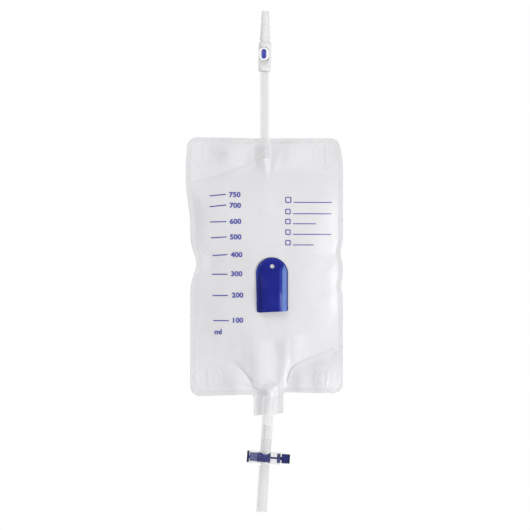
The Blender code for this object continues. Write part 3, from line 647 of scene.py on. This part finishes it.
# The film where it is free, along its weld, over the tubes and in the neck.
film_looks = [
    finish(name, tint, shade, roughness, grain, relief, broad=broad, Alpha=alpha)
    for name, tint, shade, roughness, grain, relief, broad, alpha in (
        ("clear_film", (0.834, 0.831, 0.844), (0.828, 0.825, 0.839), 0.30, 0.0012, 0.000008, 18.0, 0.54),
        ("welded_film", (0.815, 0.812, 0.828), (0.80, 0.797, 0.813), 0.28, 0.0009, 0.000008, 9.0, 0.50),
        ("bonded_film", (0.90, 0.895, 0.91), (0.88, 0.875, 0.892), 0.26, 0.0010, 0.000012, 9.0, 0.18),
        ("neck_film", (0.805, 0.802, 0.818), (0.79, 0.787, 0.803), 0.27, 0.0010, 0.00001, 9.0, 0.38),
    )
]

# The net of each film: rows that follow the edge, the slits' rings and the creases, a fine grid beside the
# tubes and in the rings, and a wide grid on the rest.
fine_pitch, wide_pitch, line_pitch = 0.00085, 0.0012, 0.0008
inlet_beside, inlet_below, outlet_beside, outlet_above = 0.020, -0.030, 0.014, -0.160
edge_rows = (0.0004, 0.0008, 0.0012, 0.0017, 0.0021, 0.0025, 0.0030, 0.0036, 0.0041, 0.0046, 0.0051, 0.0057)
ring_rows = (0.0088, 0.0094, 0.0099, 0.0104, 0.0107, 0.0110, 0.0113, 0.0116, 0.0122)
crease_rows = (-0.0015, -0.0010, -0.0006, -0.0003, 0.0, 0.0003, 0.0006, 0.0010, 0.0015)
slit_loops = [slit_loop(slit) for slit in slits]


def beside_tubes(x, z):
    beside_inlet = (np.abs(x) < inlet_beside) & (z > inlet_below)
    return beside_inlet | (np.abs(x - line_x(z)) < outlet_beside) & (z < outlet_above)


def from_cut(x, z):
    """Distance from points to the nearest cut."""
    return np.min([from_loop(x, z, loop) for loop in slit_loops], axis=0)


ringed = [inset_points(rim_line, edge_rows)]
for slit_x, slit_z, _ in slits:
    for radius in ring_rows:
        turns = np.linspace(0.0, 2 * math.pi, round(2 * math.pi * radius / line_pitch), endpoint=False)
        ringed.append(pairs(slit_x + radius * np.cos(turns), slit_z + radius * np.sin(turns)))
ringed = np.vstack(ringed)
ringed = ringed[from_cut(*ringed.T) > 0.0003]
fields = []
for pitch, edge_gap, ring_gap in ((wide_pitch, 0.0009, 0.0008), (fine_pitch, 0.0005, 0.0004)):
    x, z = hex_grid((-half_width, neck_end), (half_width, top_left), pitch)
    kept = from_loop(x, z, rim_line) > edge_rows[-1] + edge_gap
    kept &= from_slit(x, z) > ring_rows[-1] + ring_gap
    if pitch == wide_pitch:
        kept &= ~beside_tubes(x, z)
    else:
        kept &= beside_tubes(x, z)
        kept |= (from_slit(x, z) < ring_rows[0] - ring_gap) & (from_cut(x, z) > 0.0004)
    fields.append(pairs(x, z)[kept & inside(x, z, rim_line)])
fields = np.vstack(fields)
rows = []
for line, *_ in creases:
    line = np.array(line) / 1000
    fields = fields[from_line(*fields.T, line)[0] > crease_rows[-1] + 0.0004]
    middle = points_at(line, np.arange(0.0, passed(line)[-1], line_pitch))
    ahead = np.gradient(middle, axis=0)
    across = pairs(-ahead[:, 1], ahead[:, 0]) / np.hypot(*ahead.T)[:, None]
    rows.extend(middle + across * offset for offset in crease_rows)
rows = np.vstack(rows)
rows = rows[inside(*rows.T, rim_line) & (from_loop(*rows.T, rim_line) > edge_rows[-1] + 0.0005)]
bag_net = net([rim_line] + slit_loops, np.vstack([ringed, fields, rows]))

x, z = bag_net[0][bag_net[1]].mean(axis=1).T
welded = from_loop(x, z, rim_line) < weld_width
in_neck = z < bottom_neck - neck_seam
over_tubes = (np.abs(x) < inlet_radius + tube_play) & (z > inlet_end)
over_tubes |= (np.abs(x - line_x(z)) < outlet_radius + 0.0005) & in_neck
film_numbers = np.where(over_tubes, 2, np.where(in_neck, 3, np.where(welded, 1, 0)))
for name, face, side in (("bag_front", front_face, -1), ("bag_back", back_face, 1)):
    sheet = sheet_piece(name, *bag_net, face, side, film)
    patch(sheet, film_looks, film_numbers)
    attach(sheet, "bag")
    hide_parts(name + "_film")


# THE ANTI-REFLUX VALVE
# Two small soft films, welded into a flattened sleeve round the end of the inlet tube. They hang down inside
# the bag and narrow to a tip, so that urine runs in but can't run back.
valve_tip = 0.0030
valve_body_end = valve_top - 0.0120
valve_corners = [
    (valve_half, valve_top, 0.0015), (valve_half, valve_body_end, 0.005), (valve_tip, valve_low, 0.0008)
]
valve_corners += [(-x, z, radius) for x, z, radius in valve_corners[::-1]]
valve_loop = evenly(rounded(valve_corners, 8), 0.0008)


def valve_face(x, z):
    """How far the outer face of a valve film stands from the weld plane."""
    return film + np.maximum(over_inlet(x, z), 0.00005) + 0.00012 * ripple(x, z, 0.004, 0.009)


x, z = hex_grid((-valve_half, valve_low), (valve_half, valve_top), 0.0008)
kept = inside(x, z, valve_loop) & (from_loop(x, z, valve_loop) > 0.0005)
valve_net = net([valve_loop], pairs(x, z)[kept])
valve_film = finish(
    "valve_film", (0.88, 0.87, 0.875), (0.86, 0.85, 0.855), 0.32, 0.0010, 0.00001, Alpha=0.09
)
for name, side in (("valve_front", -1), ("valve_back", 1)):
    sheet = sheet_piece(name, *valve_net, valve_face, side, film)
    sheet.data.materials.append(valve_film)
    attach(sheet, "bag")
    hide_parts("reflux_" + name + "_film")


# THE INLET TUBE
# A length of clear soft tube that has gone slightly milky. Its upper end is glued into the connector and its
# lower end is welded between the films and opens inside the valve.
inlet_wall, inlet_length = 0.0017, 0.0859


def solid(name, points, faces, place, sharp_angle, merge=0.0):
    """A closed piece with its faces looking outwards, set in place by a matrix."""
    mesh = bpy.data.meshes.new(name)
    mesh.from_pydata(points, [], faces)
    shape = bmesh.new()
    shape.from_mesh(mesh)
    if merge:
        bmesh.ops.remove_doubles(shape, verts=shape.verts, dist=merge)
    bmesh.ops.recalc_face_normals(shape, faces=shape.faces)
    shape.to_mesh(mesh)
    shape.free()
    mesh.transform(place)
    mesh.shade_smooth()
    mesh.set_sharp_from_angle(angle=math.radians(sharp_angle))
    return added(name, mesh)


def turned(name, corners, steps, place, corner_steps=4):
    """A piece turned from (radius, height, rounding) corners."""
    points, faces, rows = [], [], []
    for radius, height in rounded(corners, corner_steps):
        if radius < 1e-7:
            rows.append([len(points)] * steps)
            points.append((0.0, 0.0, height))
            continue
        rows.append(list(range(len(points), len(points) + steps)))
        turns = [2 * math.pi * step / steps for step in range(steps)]
        points.extend((radius * math.cos(turn), radius * math.sin(turn), height) for turn in turns)
    for row, following in zip(rows, rows[1:] + rows[:1]):
        for step in range(steps):
            ahead = (step + 1) % steps
            face = tuple(dict.fromkeys((row[step], row[ahead], following[ahead], following[step])))
            if len(face) > 2:
                faces.append(face)
    return solid(name, points, faces, place, 40)


def dress(piece, look, body, slot, *nodes_replaced):
    """Gives a piece its finish, hangs it on the body it rides on and hides the CAD nodes it stands for."""
    piece.data.materials.clear()
    piece.data.materials.append(look)
    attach(piece, body)
    if nodes_replaced:
        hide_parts(*nodes_replaced)


def tube_corners(outer, inner, low, high, rounding=0.0003):
    return [(outer, high, rounding), (outer, low, rounding), (inner, low, rounding), (inner, high, rounding)]


soft_tube = finish(
    "soft_tube", (0.615, 0.615, 0.620), (0.600, 0.600, 0.607), 0.28, 0.0016, 0.000004, broad=10.0, Alpha=0.19
)
inlet = turned(
    "inlet_line", tube_corners(inlet_radius, inlet_radius - inlet_wall, 0.0, inlet_length), 64,
    Matrix.Translation((0.0, 0.0, inlet_end)),
)
dress(inlet, soft_tube, "bag", "soft_tube", "inlet_tube")


# THE CONNECTOR
# One white moulding: a barbed taper that is pushed into a catheter, and a housing with a socket for the tube.
# An oval window in the housing holds the collar of the sample port.
connector_length, nozzle_length, socket_depth, waist_radius = 0.0544, 0.0263, 0.0080, 0.0042
connector_base = inlet_end + inlet_length + tube_play - socket_depth
tip_radius, root_radius = 0.0033, 0.00505
housing_radius, connector_bore, tube_socket = 0.0058, 0.0023, inlet_radius + tube_play
barb_drops = (0.0077, 0.0116, 0.0153, 0.0201, 0.0256)
barb_lip = 0.00042
connector_place = (
    Matrix.Translation((0.0, 0.0, connector_base))
    @ Matrix.Rotation(math.radians(0.9), 4, "Y")
    @ Matrix.Rotation(math.radians(-9), 4, "Z")
)
port_height, port_half_width, port_half_height = 0.0155, 0.0043, 0.0059
collar_face = housing_radius + 0.0007
port_floor = connector_bore + 0.0009
window_play, cut_reach = 0.00008, 0.02
seat_half_width, seat_half_height, septum_half_width, septum_half_height = 0.00185, 0.0043, 0.0016, 0.0041

corners = [(tip_radius - 0.0001, connector_length, 0.0004)]
for drop in barb_drops:
    share = drop / nozzle_length
    radius = tip_radius + (root_radius - tip_radius) * share
    corners.append((radius, connector_length - drop, 0.00012))
    corners.append((radius - barb_lip, connector_length - drop - barb_lip, 0.00008))
nozzle_base = connector_length - nozzle_length
shoulder = nozzle_base - 0.0009
corners.extend([
    (waist_radius, nozzle_base, 0.0002), (waist_radius, shoulder, 0.0003),
    (housing_radius - 0.0004, shoulder - 0.0014, 0.0008), (housing_radius, shoulder - 0.0034, 0.002),
    (housing_radius - 0.00025, 0.0012, 0.0005), (housing_radius - 0.0009, 0.0, 0.0003),
    (tube_socket, 0.0, 0.0002), (tube_socket, socket_depth, 0.0),
    (connector_bore, socket_depth, 0.0), (connector_bore, connector_length, 0.0002),
])
connector = turned("connector", corners, 96, connector_place)


def oval(half_wide, half_high, middle, steps=24):
    """An upright outline with round ends."""
    straight = half_high - half_wide
    upper = arc(0.0, middle + straight, half_wide, half_wide, steps + 1, steps)
    return upper + arc(0.0, middle - straight, -half_wide, -half_wide, steps + 1, steps)


def block(name, layers, place):
    """A closed block from outlines of equal length, each at its own distance in front of the axis."""
    points, faces = [], []
    count = len(layers[0][1])
    for distance, loop in layers:
        points.extend((a, -distance, b) for a, b in loop)
    for first in range(0, len(points) - count, count):
        for step in range(count):
            ahead = (step + 1) % count
            faces.append((first + step, first + ahead, first + count + ahead, first + count + step))
    faces += [tuple(range(count)), tuple(range(len(points) - count, len(points)))]
    return solid(name, points, faces, place, 35, merge=1e-7)


def evaluated(thing):
    """An object's mesh with its modifiers or its letters worked out."""
    bpy.context.view_layer.update()
    return bpy.data.meshes.new_from_object(thing.evaluated_get(bpy.context.evaluated_depsgraph_get()))


def combine(operation, piece, tool):
    """Joins the tool to a piece, or takes its shape out, for good, and deletes the tool."""
    step = piece.modifiers.new("combine", "BOOLEAN")
    step.operation, step.solver, step.object = operation, "EXACT", tool
    made = evaluated(piece)
    piece.modifiers.clear()
    piece.data = made
    bpy.data.objects.remove(tool)


window = oval(port_half_width + window_play, port_half_height + window_play, port_height)
layers = ((port_floor, window), (cut_reach, window))
combine("DIFFERENCE", connector, block("window", layers, connector_place))
connector_white = finish(
    "connector_white", (0.71, 0.71, 0.705), (0.695, 0.695, 0.692), 0.45, 0.0009, 0.000015, broad=8.0,
    Subsurface_Weight=0.5, Subsurface_Radius=(1.0, 1.0, 1.0), Subsurface_Scale=0.002,
)
dress(connector, connector_white, "bag", "white_plastic", "connector_body")


def stepped(half_wide, half_high, steps):
    """Layers of a block from ovals, each at its own distance and smaller by its own inset."""
    return [(distance, oval(half_wide - inset, half_high - inset, port_height)) for distance, inset in steps]


collar_floor = port_floor + tube_play
collar = block("port_collar", stepped(port_half_width, port_half_height, (
    (collar_floor, 0.0), (collar_face - 0.0006, 0.0), (collar_face - 0.0002, 0.00015), (collar_face, 0.0006),
    (collar_face - 0.0001, 0.0014), (collar_face - 0.0007, 0.00195),
)), connector_place)
seat = oval(seat_half_width, seat_half_height, port_height)
combine("DIFFERENCE", collar, block("seat", ((0.0, seat), (cut_reach, seat)), connector_place))
collar_white = finish(
    "collar_white", (0.88, 0.88, 0.88), (0.86, 0.86, 0.865), 0.22, 0.0012, 0.00001,
    Subsurface_Weight=0.1, Subsurface_Scale=0.001,
)
dress(collar, collar_white, "bag", "white_plastic", "sample_port_collar")

septum = block("port_septum", stepped(septum_half_width, septum_half_height, (
    (collar_floor, 0.0), (collar_face - 0.0001, 0.0), (collar_face + 0.00015, 0.0002),
    (collar_face + 0.0003, 0.0009),
)), connector_place)
septum_blue = finish("septum_blue", (0.030, 0.045, 0.42), (0.020, 0.028, 0.30), 0.42, 0.0006, 0.00003)
dress(septum, septum_blue, "bag", "blue_rubber", "sample_port_septum")


# THE PRINTED VOLUME SCALE
# Violet-blue screen ink on the front film: eight level marks, each with its volume, and the unit below.
# The ink lies on the film and follows its folds.
ink_height = 0.00010
ink_skin = 0.00004
# Each volume with the left and right end, height and lean of its mark and the left end of its figures, in mm.
marks = (
    ("750", -49.5, -34.8, -36.2, 1.4, -31.9),
    ("700", -49.4, -34.4, -45.9, 1.6, -31.5),
    ("600", -48.9, -34.3, -60.2, 0.4, -31.3),
    ("500", -48.2, -34.0, -74.2, 0.9, -31.1),
    ("400", -46.6, -33.5, -90.1, 1.0, -30.5),
    ("300", -47.3, -33.3, -107.3, 0.0, -30.2),
    ("200", -46.7, -32.8, -126.4, 0.2, -29.5),
    ("100", -46.1, -32.0, -149.0, 0.0, -28.4),
)
digit_size, digit_stretch, digit_weight, mark_width = 0.0062, 1.10, 0.00026, 0.0010


def flat_letters(text, left, middle, size, weight):
    """Letters as flat triangles in (x, z), set with their left end and middle height at a place."""
    curve = bpy.data.curves.new(text, "FONT")
    curve.body, curve.size, curve.offset = text, size, weight
    curve.resolution_u, curve.space_character = 4, 1.02
    guide = added(text, curve)
    mesh = evaluated(guide)
    bpy.data.objects.remove(guide)
    places = np.array([vertex.co[:2] for vertex in mesh.vertices])
    faces = [tuple(polygon.vertices) for polygon in mesh.polygons]
    places[:, 0] *= digit_stretch
    places[:, 0] += left - places[:, 0].min()
    places[:, 1] += middle - (places[:, 1].max() + places[:, 1].min()) / 2
    return places, faces


def flat_bar(start, end, width, pitch=0.0012):
    """A straight printed line as a strip of quads."""
    start, run = np.array(start), np.array(end) - np.array(start)
    length = np.hypot(*run)
    count = max(1, round(length / pitch))
    across = np.array([-run[1], run[0]]) / length * width / 2
    middle = [start + run * step / count for step in range(count + 1)]
    places = np.array([m - across for m in middle] + [m + across for m in middle])
    faces = [(i, i + 1, count + 2 + i, count + 1 + i) for i in range(count)]
    return places, faces


def printed(name, shapes):
    """One ink print from flat shapes, laid on the front film."""
    points, faces = [], []
    for places, shape_faces in shapes:
        first = len(points)
        points.extend(map(tuple, places))
        faces.extend(tuple(first + corner for corner in face) for face in shape_faces)
    x, z = np.array(points).T
    mesh = bpy.data.meshes.new(name)
    mesh.from_pydata(np.stack([x, -(front_face(x, z) + ink_height), z], axis=1).tolist(), [], faces)
    shape = bmesh.new()
    shape.from_mesh(mesh)
    bmesh.ops.remove_doubles(shape, verts=shape.verts, dist=1e-6)
    bmesh.ops.recalc_face_normals(shape, faces=shape.faces)
    for face in shape.faces:
        if face.normal.y > 0.0:
            face.normal_flip()
    shape.to_mesh(mesh)
    shape.free()
    piece = added(name, mesh)
    skin = piece.modifiers.new("ink", "SOLIDIFY")
    skin.thickness, skin.offset = ink_skin, -1.0
    return piece


ink = finish("violet_blue_ink", (0.075, 0.080, 0.36), (0.058, 0.062, 0.30), 0.40, 0.0005, 0.00001, broad=6.0)
shapes = []
for text, left, right, height, lean, text_left in marks:
    start, end = (left / 1000, (height - lean / 2) / 1000), (right / 1000, (height + lean / 2) / 1000)
    shapes.append(flat_bar(start, end, mark_width))
    shapes.append(flat_letters(text, text_left / 1000, (height + 0.4) / 1000, digit_size, digit_weight))
shapes.append(flat_letters("ml", -0.0450, -0.1590, digit_size, digit_weight))
volume_scale = printed("volume_scale", shapes)
dress(volume_scale, ink, "bag", "film")


# THE WRITE-ON PANEL
# A plain panel in the same ink, printed on the front film for the ward to write on: five ruled lines, each
# with an empty box to tick.
panel_left, panel_space, box_width, rule_width = 0.0190, 0.0025, 0.0009, 0.0008
panel_rows = ((-40.5, 4.6, 60.5), (-51, 4.0, 60.0), (-60, 4.0, 46.0), (-69.5, 4.0, 60.0), (-79, 4.0, 44.0))
shapes = []
for height, box_side, line_end in panel_rows:
    low, side = (height - box_side / 2) / 1000, box_side / 1000
    right, top = panel_left + side, low + side
    box = [(panel_left, low), (right, low), (right, top), (panel_left, top)]
    shapes.extend(flat_bar(start, end, box_width) for start, end in zip(box, box[1:] + box[:1]))
    shapes.append(flat_bar((right + panel_space, low), (line_end / 1000, low), rule_width))
write_on_panel = printed("write_on_panel", shapes)
dress(write_on_panel, ink, "bag", "film")


# THE OUTLET POCKET
# A stiffer glossy blue sheet, welded to the front film along its sides and domed top, and open below. The tap
# and drain tube are tucked into it. A round hole near the top shows the white film behind.
pocket_half, pocket_height, pocket_x = 0.0143, 0.0496, 0.0066
pocket_top = top_middle - 0.1071
pocket_low, pocket_side = pocket_top - pocket_height, pocket_top - pocket_half
pocket_sheet, pocket_seat, pocket_bulge, pocket_weld = 0.0004, 0.00045, 0.0062, 0.0018
pocket_closing, mouth_reach, mouth_drop = 0.034, 0.018, 0.28
hole_radius, hole_x, hole_z, hole_pressed = 0.0020, pocket_x + 0.0004, pocket_top - 0.0080, 0.0046
pocket_rows = (
    0.0003, 0.0006, 0.0009, 0.0013, 0.0016, 0.0018, 0.00184, 0.0019, 0.0020, 0.00215, 0.0024, 0.0027, 0.0031,
    0.0036, 0.0041, 0.0046, 0.0052, 0.0058,
)

dome = arc(pocket_x, pocket_side, -pocket_half, pocket_half, 41, 40)
pocket_sides = rounded(
    [(pocket_x + pocket_half, pocket_side, 0.0), (pocket_x + pocket_half, pocket_low + 0.0013, 0.0016),
     (pocket_x - pocket_half + 0.0008, pocket_low, 0.0016), (pocket_x - pocket_half, pocket_side, 0.0)], 6,
)
pocket_loop = evenly(dome + pocket_sides[1:-1], 0.0006)
hole_loop = arc(hole_x, hole_z, hole_radius, hole_radius, 36, 18)


def pocket_face(x, z):
    """The outer face. It is flat on its weld, arched on the left, and level and then steep on the right; it
    closes towards the dome, lies near the film round the hole and is a little flatter at its mouth."""
    above = np.maximum(0.0, z - pocket_side)
    half = np.sqrt(np.maximum(pocket_half**2 - above**2, 0.0))
    offset = np.clip((x - pocket_x) / np.maximum(half - pocket_weld, 1e-5), -1.0, 1.0)
    across = np.where(offset < 0.0, (1.0 - offset**2) ** 0.5, 1.0 - np.abs(offset) ** 4.5)
    closing = ease((pocket_top - pocket_weld - z) / pocket_closing)
    mouth = 1.0 - mouth_drop * ease((pocket_low + mouth_reach - z) / mouth_reach)
    pressed = 1.0 - ridge(np.hypot(x - hole_x, z - hole_z), hole_pressed)
    weld_line = 0.00025 * ridge(from_loop(x, z, pocket_loop) - 0.0017, 0.00035)
    bulge = pocket_bulge * closing * across * mouth * pressed
    return front_face(x, z) + pocket_seat + pocket_sheet + bulge + weld_line


x, z = hex_grid((pocket_x - pocket_half, pocket_low), (pocket_x + pocket_half, pocket_top), 0.0009)
kept = inside(x, z, pocket_loop) & (from_loop(x, z, pocket_loop) > pocket_rows[-1] + 0.0005)
kept &= np.hypot(x - hole_x, z - hole_z) > hole_radius + 0.0013
near, beyond = (arc(hole_x, hole_z, hole_radius + gap, hole_radius + gap, 36, 18) for gap in (0.0004, 0.0009))
spots = [inset_points(pocket_loop, pocket_rows), pairs(x, z)[kept], near, beyond]
pocket_net = net([pocket_loop, hole_loop], np.vstack(spots))
pocket = sheet_piece("blue_pocket", *pocket_net, pocket_face, -1, pocket_sheet)
# Looks for the pocket: its own blue, a painted highlight, painted shade, and a lighter weld seam that also
# carries painted sheen.
pocket_looks = [
    finish(name, tint, shade, roughness, grain, 0.00002, broad=broad, Specular_IOR_Level=specular)
    for name, tint, shade, roughness, grain, broad, specular in (
        ("pocket_blue", (0.014, 0.020, 0.23), (0.010, 0.014, 0.19), 0.32, 0.0011, 10.0, 0.09),
        ("pocket_painted_highlight", (0.125, 0.205, 0.50), (0.095, 0.165, 0.44), 0.30, 0.0009, 5.0, 0.20),
        ("pocket_shaded_edge", (0.007, 0.011, 0.170), (0.005, 0.009, 0.145), 0.34, 0.0009, 5.0, 0.14),
        ("pocket_weld_seam_and_sheen", (0.018, 0.035, 0.28), (0.014, 0.028, 0.25), 0.30, 0.0009, 5.0, 0.20),
    )
]
dress(pocket, pocket_looks[0], "bag", "blue_sheet", "outlet_pocket")

# On the right the folded edge carries a pale painted highlight, the rim and a stripe on the left carry
# painted shade, and the weld seam between is lighter and widens on the right into painted sheen beside the
# highlight.
x, z = pocket_net[0][pocket_net[1]].mean(axis=1).T
inward = pocket_half - np.hypot(x - pocket_x, np.maximum(0.0, z - pocket_side))
on_right = x > pocket_x
lower = ease((pocket_top - 0.0040 - z) / 0.0095)
# Painted highlight: the pale band down the right-hand edge.
pale = on_right & (inward < 0.0050 * lower)
# Painted shade: a dark rim along the edge and a dark stripe down the left flank.
rim = (inward < 0.0010) & (on_right | (lower < 0.5))
stripe = ~on_right & (inward > 0.0020) & (inward < 0.0020 + 0.0034 * lower)
# The seam is a lighter weld line, and on the right it widens into painted sheen beside the highlight.
seam = (inward < 0.0020) | on_right & (inward < 0.0078 * lower)
patch(pocket, pocket_looks[1:], np.where(rim | stripe, 2, np.where(pale, 1, np.where(seam, 3, 0))))


# THE OUTLET AND DRAIN TUBES
# Two lengths of the same soft tube. The upper one is welded into the neck of the bag and pushed over the
# tap's upper spigot; the lower one is pushed over the lower spigot and ends in a square cut.
tap_place = Matrix.Translation((tap_x, 0.0, tap_z)) @ Matrix.Rotation(line_tilt, 4, "Y")
tube_bore, drain_radius = 0.0039, 0.0050
outlet_low, drain_high, drain_low = 0.0173, -0.0077, -0.0490
outlet_corners = tube_corners(outlet_radius, tube_bore, outlet_low, outlet_high)
outlet = turned("outlet_line", outlet_corners, 72, tap_place)
outlet_look = finish(
    "clear_outlet_tube", (0.72, 0.72, 0.73), (0.705, 0.705, 0.717), 0.26, 0.0016, 0.000005, broad=10.0,
    Alpha=0.20,
)
dress(outlet, outlet_look, "bag", "soft_tube", "outlet_tube")
drain_corners = tube_corners(drain_radius, tube_bore, drain_low, drain_high)
drain = turned("drain_line", drain_corners, 72, tap_place)
milky_tube = finish(
    "milky_tube", (0.635, 0.635, 0.638), (0.615, 0.615, 0.620), 0.38, 0.0014, 0.000008, broad=8.0, Alpha=0.20
)
dress(drain, milky_tube, "bag", "soft_tube", "drain_tube")


# THE TAP BODY
# One clear rigid moulding: a cross barrel that the spool slides in, a stub above it and a spigot at each end
# of its waterway, over which the soft tubes are pushed.
barrel_radius, barrel_half, bore_radius = 0.0056, 0.01405, 0.00465
stub_radius, spigot_radius = 0.0049, tube_bore - tube_play
stub_length, spigot_grip, lower_stub = 0.0170, 0.0120, 0.0077
port_bore = 0.0025
barrel_place = tap_place @ Matrix.Rotation(math.pi / 2, 4, "Y")

barrel = turned("tap_barrel", [
    (0.0, barrel_half, 0.0), (barrel_radius, barrel_half, 0.0004), (barrel_radius, -barrel_half, 0.0004),
    (0.0, -barrel_half, 0.0),
], 96, barrel_place)
column_top, column_low = stub_length + spigot_grip, -lower_stub - spigot_grip
combine("UNION", barrel, turned("tap_column", [
    (0.0, column_top, 0.0), (spigot_radius, column_top, 0.0004), (spigot_radius, stub_length, 0.0002),
    (stub_radius, stub_length, 0.0003), (stub_radius, 0.0, 0.0), (spigot_radius, 0.0, 0.0),
    (spigot_radius, -lower_stub, 0.0), (spigot_radius, column_low, 0.0004), (0.0, column_low, 0.0),
], 96, tap_place))
for name, radius, high, low, steps, place in (
    ("bore", bore_radius, barrel_half, -barrel_half, 96, barrel_place),
    ("waterway", port_bore, column_top, column_low, 64, tap_place),
):
    high, low = high + 0.002, low - 0.002
    hollow = [(0.0, high, 0.0), (radius, high, 0.0), (radius, low, 0.0), (0.0, low, 0.0)]
    combine("DIFFERENCE", barrel, turned(name, hollow, steps, place))
barrel.name = "tap_shell"
barrel.data.set_sharp_from_angle(angle=math.radians(30))
tap_clear = finish(
    "tap_clear", (0.90, 0.905, 0.92), (0.885, 0.89, 0.905), 0.12, 0.0030, 0.00001, broad=6.0,
    Transmission_Weight=1.0, IOR=1.30,
)
dress(barrel, tap_clear, "bag", "clear_plastic", "tap_body")
spigot_clear = finish(
    "spigot_clear", (0.80, 0.80, 0.81), (0.78, 0.78, 0.79), 0.14, 0.0030, 0.00001, broad=6.0, Alpha=0.06
)
stub_clear = finish(
    "stub_clear", (0.60, 0.60, 0.612), (0.57, 0.57, 0.582), 0.16, 0.0022, 0.00001, broad=6.0, Alpha=0.38
)


def middles(piece, place):
    """The middle of each face, as seen from a place."""
    seen = place.inverted()
    return np.array([seen @ polygon.center for polygon in piece.data.polygons]).T


x, y, z = middles(barrel, tap_place)
on_spigot = (z > stub_length - 0.0001) | (z < -lower_stub)
on_stub = (np.abs(z) > barrel_radius * 0.85) & (np.hypot(x, y) < stub_radius + 0.0001)
patch(barrel, (spigot_clear, stub_clear), np.where(on_spigot, 1, np.where(on_stub, 2, 0)))


# THE TAP SPOOL
# Navy mouldings that slide together in the barrel. The wide land covers the waterway when the tap is shut, a
# thin rod joins it to the end land, and three rubber rings seal them. The knob is pushed to open the tap.
core_radius, rod_radius, peg_radius = 0.00395, 0.00090, 0.0015
land_radius = bore_radius - tube_play
land_left, land_right, end_left, end_right = -0.0069, 0.0048, 0.0106, 0.0134
knob_start, knob_end, peg_grip, disc_grip = 0.0148, 0.0223, 0.0050, 0.0014
disc_radius, disc_depth = 0.00535, 0.00205
seal_half, seal_depth, seal_play = 0.0005, 0.00085, 0.00015
seal_outer = bore_radius - seal_play
seal_middles = (land_left + 0.0015, land_right - 0.0015, (end_left + end_right) / 2)
groove_floor = seal_outer - seal_depth - seal_play
soft_edge = 0.0002


def ring_groove(middle):
    """The groove that holds a seal, met from the right."""
    half = seal_half + seal_play
    return [
        (land_radius, middle + half, 0.0001),
        (groove_floor, middle + half, 0.0),
        (groove_floor, middle - half, 0.0),
        (land_radius, middle - half, 0.0001),
    ]


core_end, peg_end = -barrel_half, knob_start + peg_grip
spool = turned("spool_core", [
    (0.0, peg_end, 0.0), (peg_radius, peg_end, soft_edge), (peg_radius, end_right, 0.0),
    (land_radius, end_right, soft_edge), *ring_groove(seal_middles[2]), (land_radius, end_left, soft_edge),
    (rod_radius, end_left, 0.0), (rod_radius, land_right, 0.0),
    (land_radius, land_right, soft_edge), *ring_groove(seal_middles[1]), *ring_groove(seal_middles[0]),
    (land_radius, land_left, soft_edge), (core_radius, land_left, 0.0), (core_radius, core_end, soft_edge),
    (peg_radius, core_end, 0.0), (peg_radius, core_end - disc_grip, 0.0), (0.0, core_end - disc_grip, 0.0),
], 80, barrel_place)
spool_navy, core_pale, knob_navy, rim_navy, disc_navy = [
    finish(name, tint, shade, roughness, grain, 0.00001, broad=broad, Specular_IOR_Level=specular)
    for name, tint, shade, roughness, grain, broad, specular in (
        ("spool_navy", (0.016, 0.024, 0.21), (0.010, 0.016, 0.16), 0.28, 0.0008, 8.0, 0.3),
        ("core_blue_grey", (0.115, 0.125, 0.29), (0.095, 0.105, 0.25), 0.32, 0.0008, 8.0, 0.3),
        ("knob_navy", (0.018, 0.024, 0.15), (0.011, 0.015, 0.11), 0.32, 0.0007, 12.0, 0.25),
        ("knob_rim_navy", (0.010, 0.013, 0.085), (0.006, 0.009, 0.060), 0.30, 0.0007, 12.0, 0.25),
        ("disc_navy", (0.008, 0.010, 0.075), (0.005, 0.007, 0.055), 0.32, 0.0007, 12.0, 0.25),
    )
]
dress(spool, spool_navy, "spool", "navy_plastic", "tap_spool")
patch(spool, [core_pale], middles(spool, barrel_place)[2] < land_left - 0.0001)

socket_radius, socket_end, knob_waist = peg_radius + tube_play, peg_end + tube_play, land_radius - 0.0003
knob = turned("push_knob", [
    (0.0, knob_end, 0.0), (land_radius, knob_end, 0.0004), (land_radius, knob_end - 0.0014, 0.0001),
    (knob_waist, knob_end - 0.0014, 0.0), (knob_waist, knob_end - 0.0017, 0.0),
    (land_radius, knob_end - 0.0020, 0.0001), (land_radius, knob_start, 0.0003),
    (socket_radius, knob_start, 0.0), (socket_radius, socket_end, 0.0), (0.0, socket_end, 0.0),
], 80, barrel_place)
dress(knob, knob_navy, "spool", "navy_plastic", "tap_push_knob")
patch(knob, [rim_navy], middles(knob, barrel_place)[2] > knob_end - 0.0016)

disc_face = core_end - tube_play
disc = turned("end_disc", [
    (0.0, disc_face - disc_grip, 0.0), (socket_radius, disc_face - disc_grip, 0.0),
    (socket_radius, disc_face, 0.0), (disc_radius, disc_face, 0.0003),
    (disc_radius, disc_face - disc_depth, 0.0005), (0.0, disc_face - disc_depth, 0.0),
], 80, barrel_place, corner_steps=5)
dress(disc, disc_navy, "spool", "navy_plastic", "tap_end_disc")

seal_rubber = finish("seal_rubber", (0.035, 0.045, 0.22), (0.024, 0.030, 0.16), 0.55, 0.0004, 0.00001)
seal_inner = seal_outer - seal_depth
for number, middle in enumerate(seal_middles, 1):
    left, right = middle - seal_half, middle + seal_half
    ring = turned(f"seal_ring_{number}", [
        (seal_outer, right, 0.0003), (seal_outer, left, 0.0003),
        (seal_inner, left, 0.0002), (seal_inner, right, 0.0002),
    ], 64, barrel_place)
    dress(ring, seal_rubber, "spool", "seal_rubber", f"spool_seal_{number}")
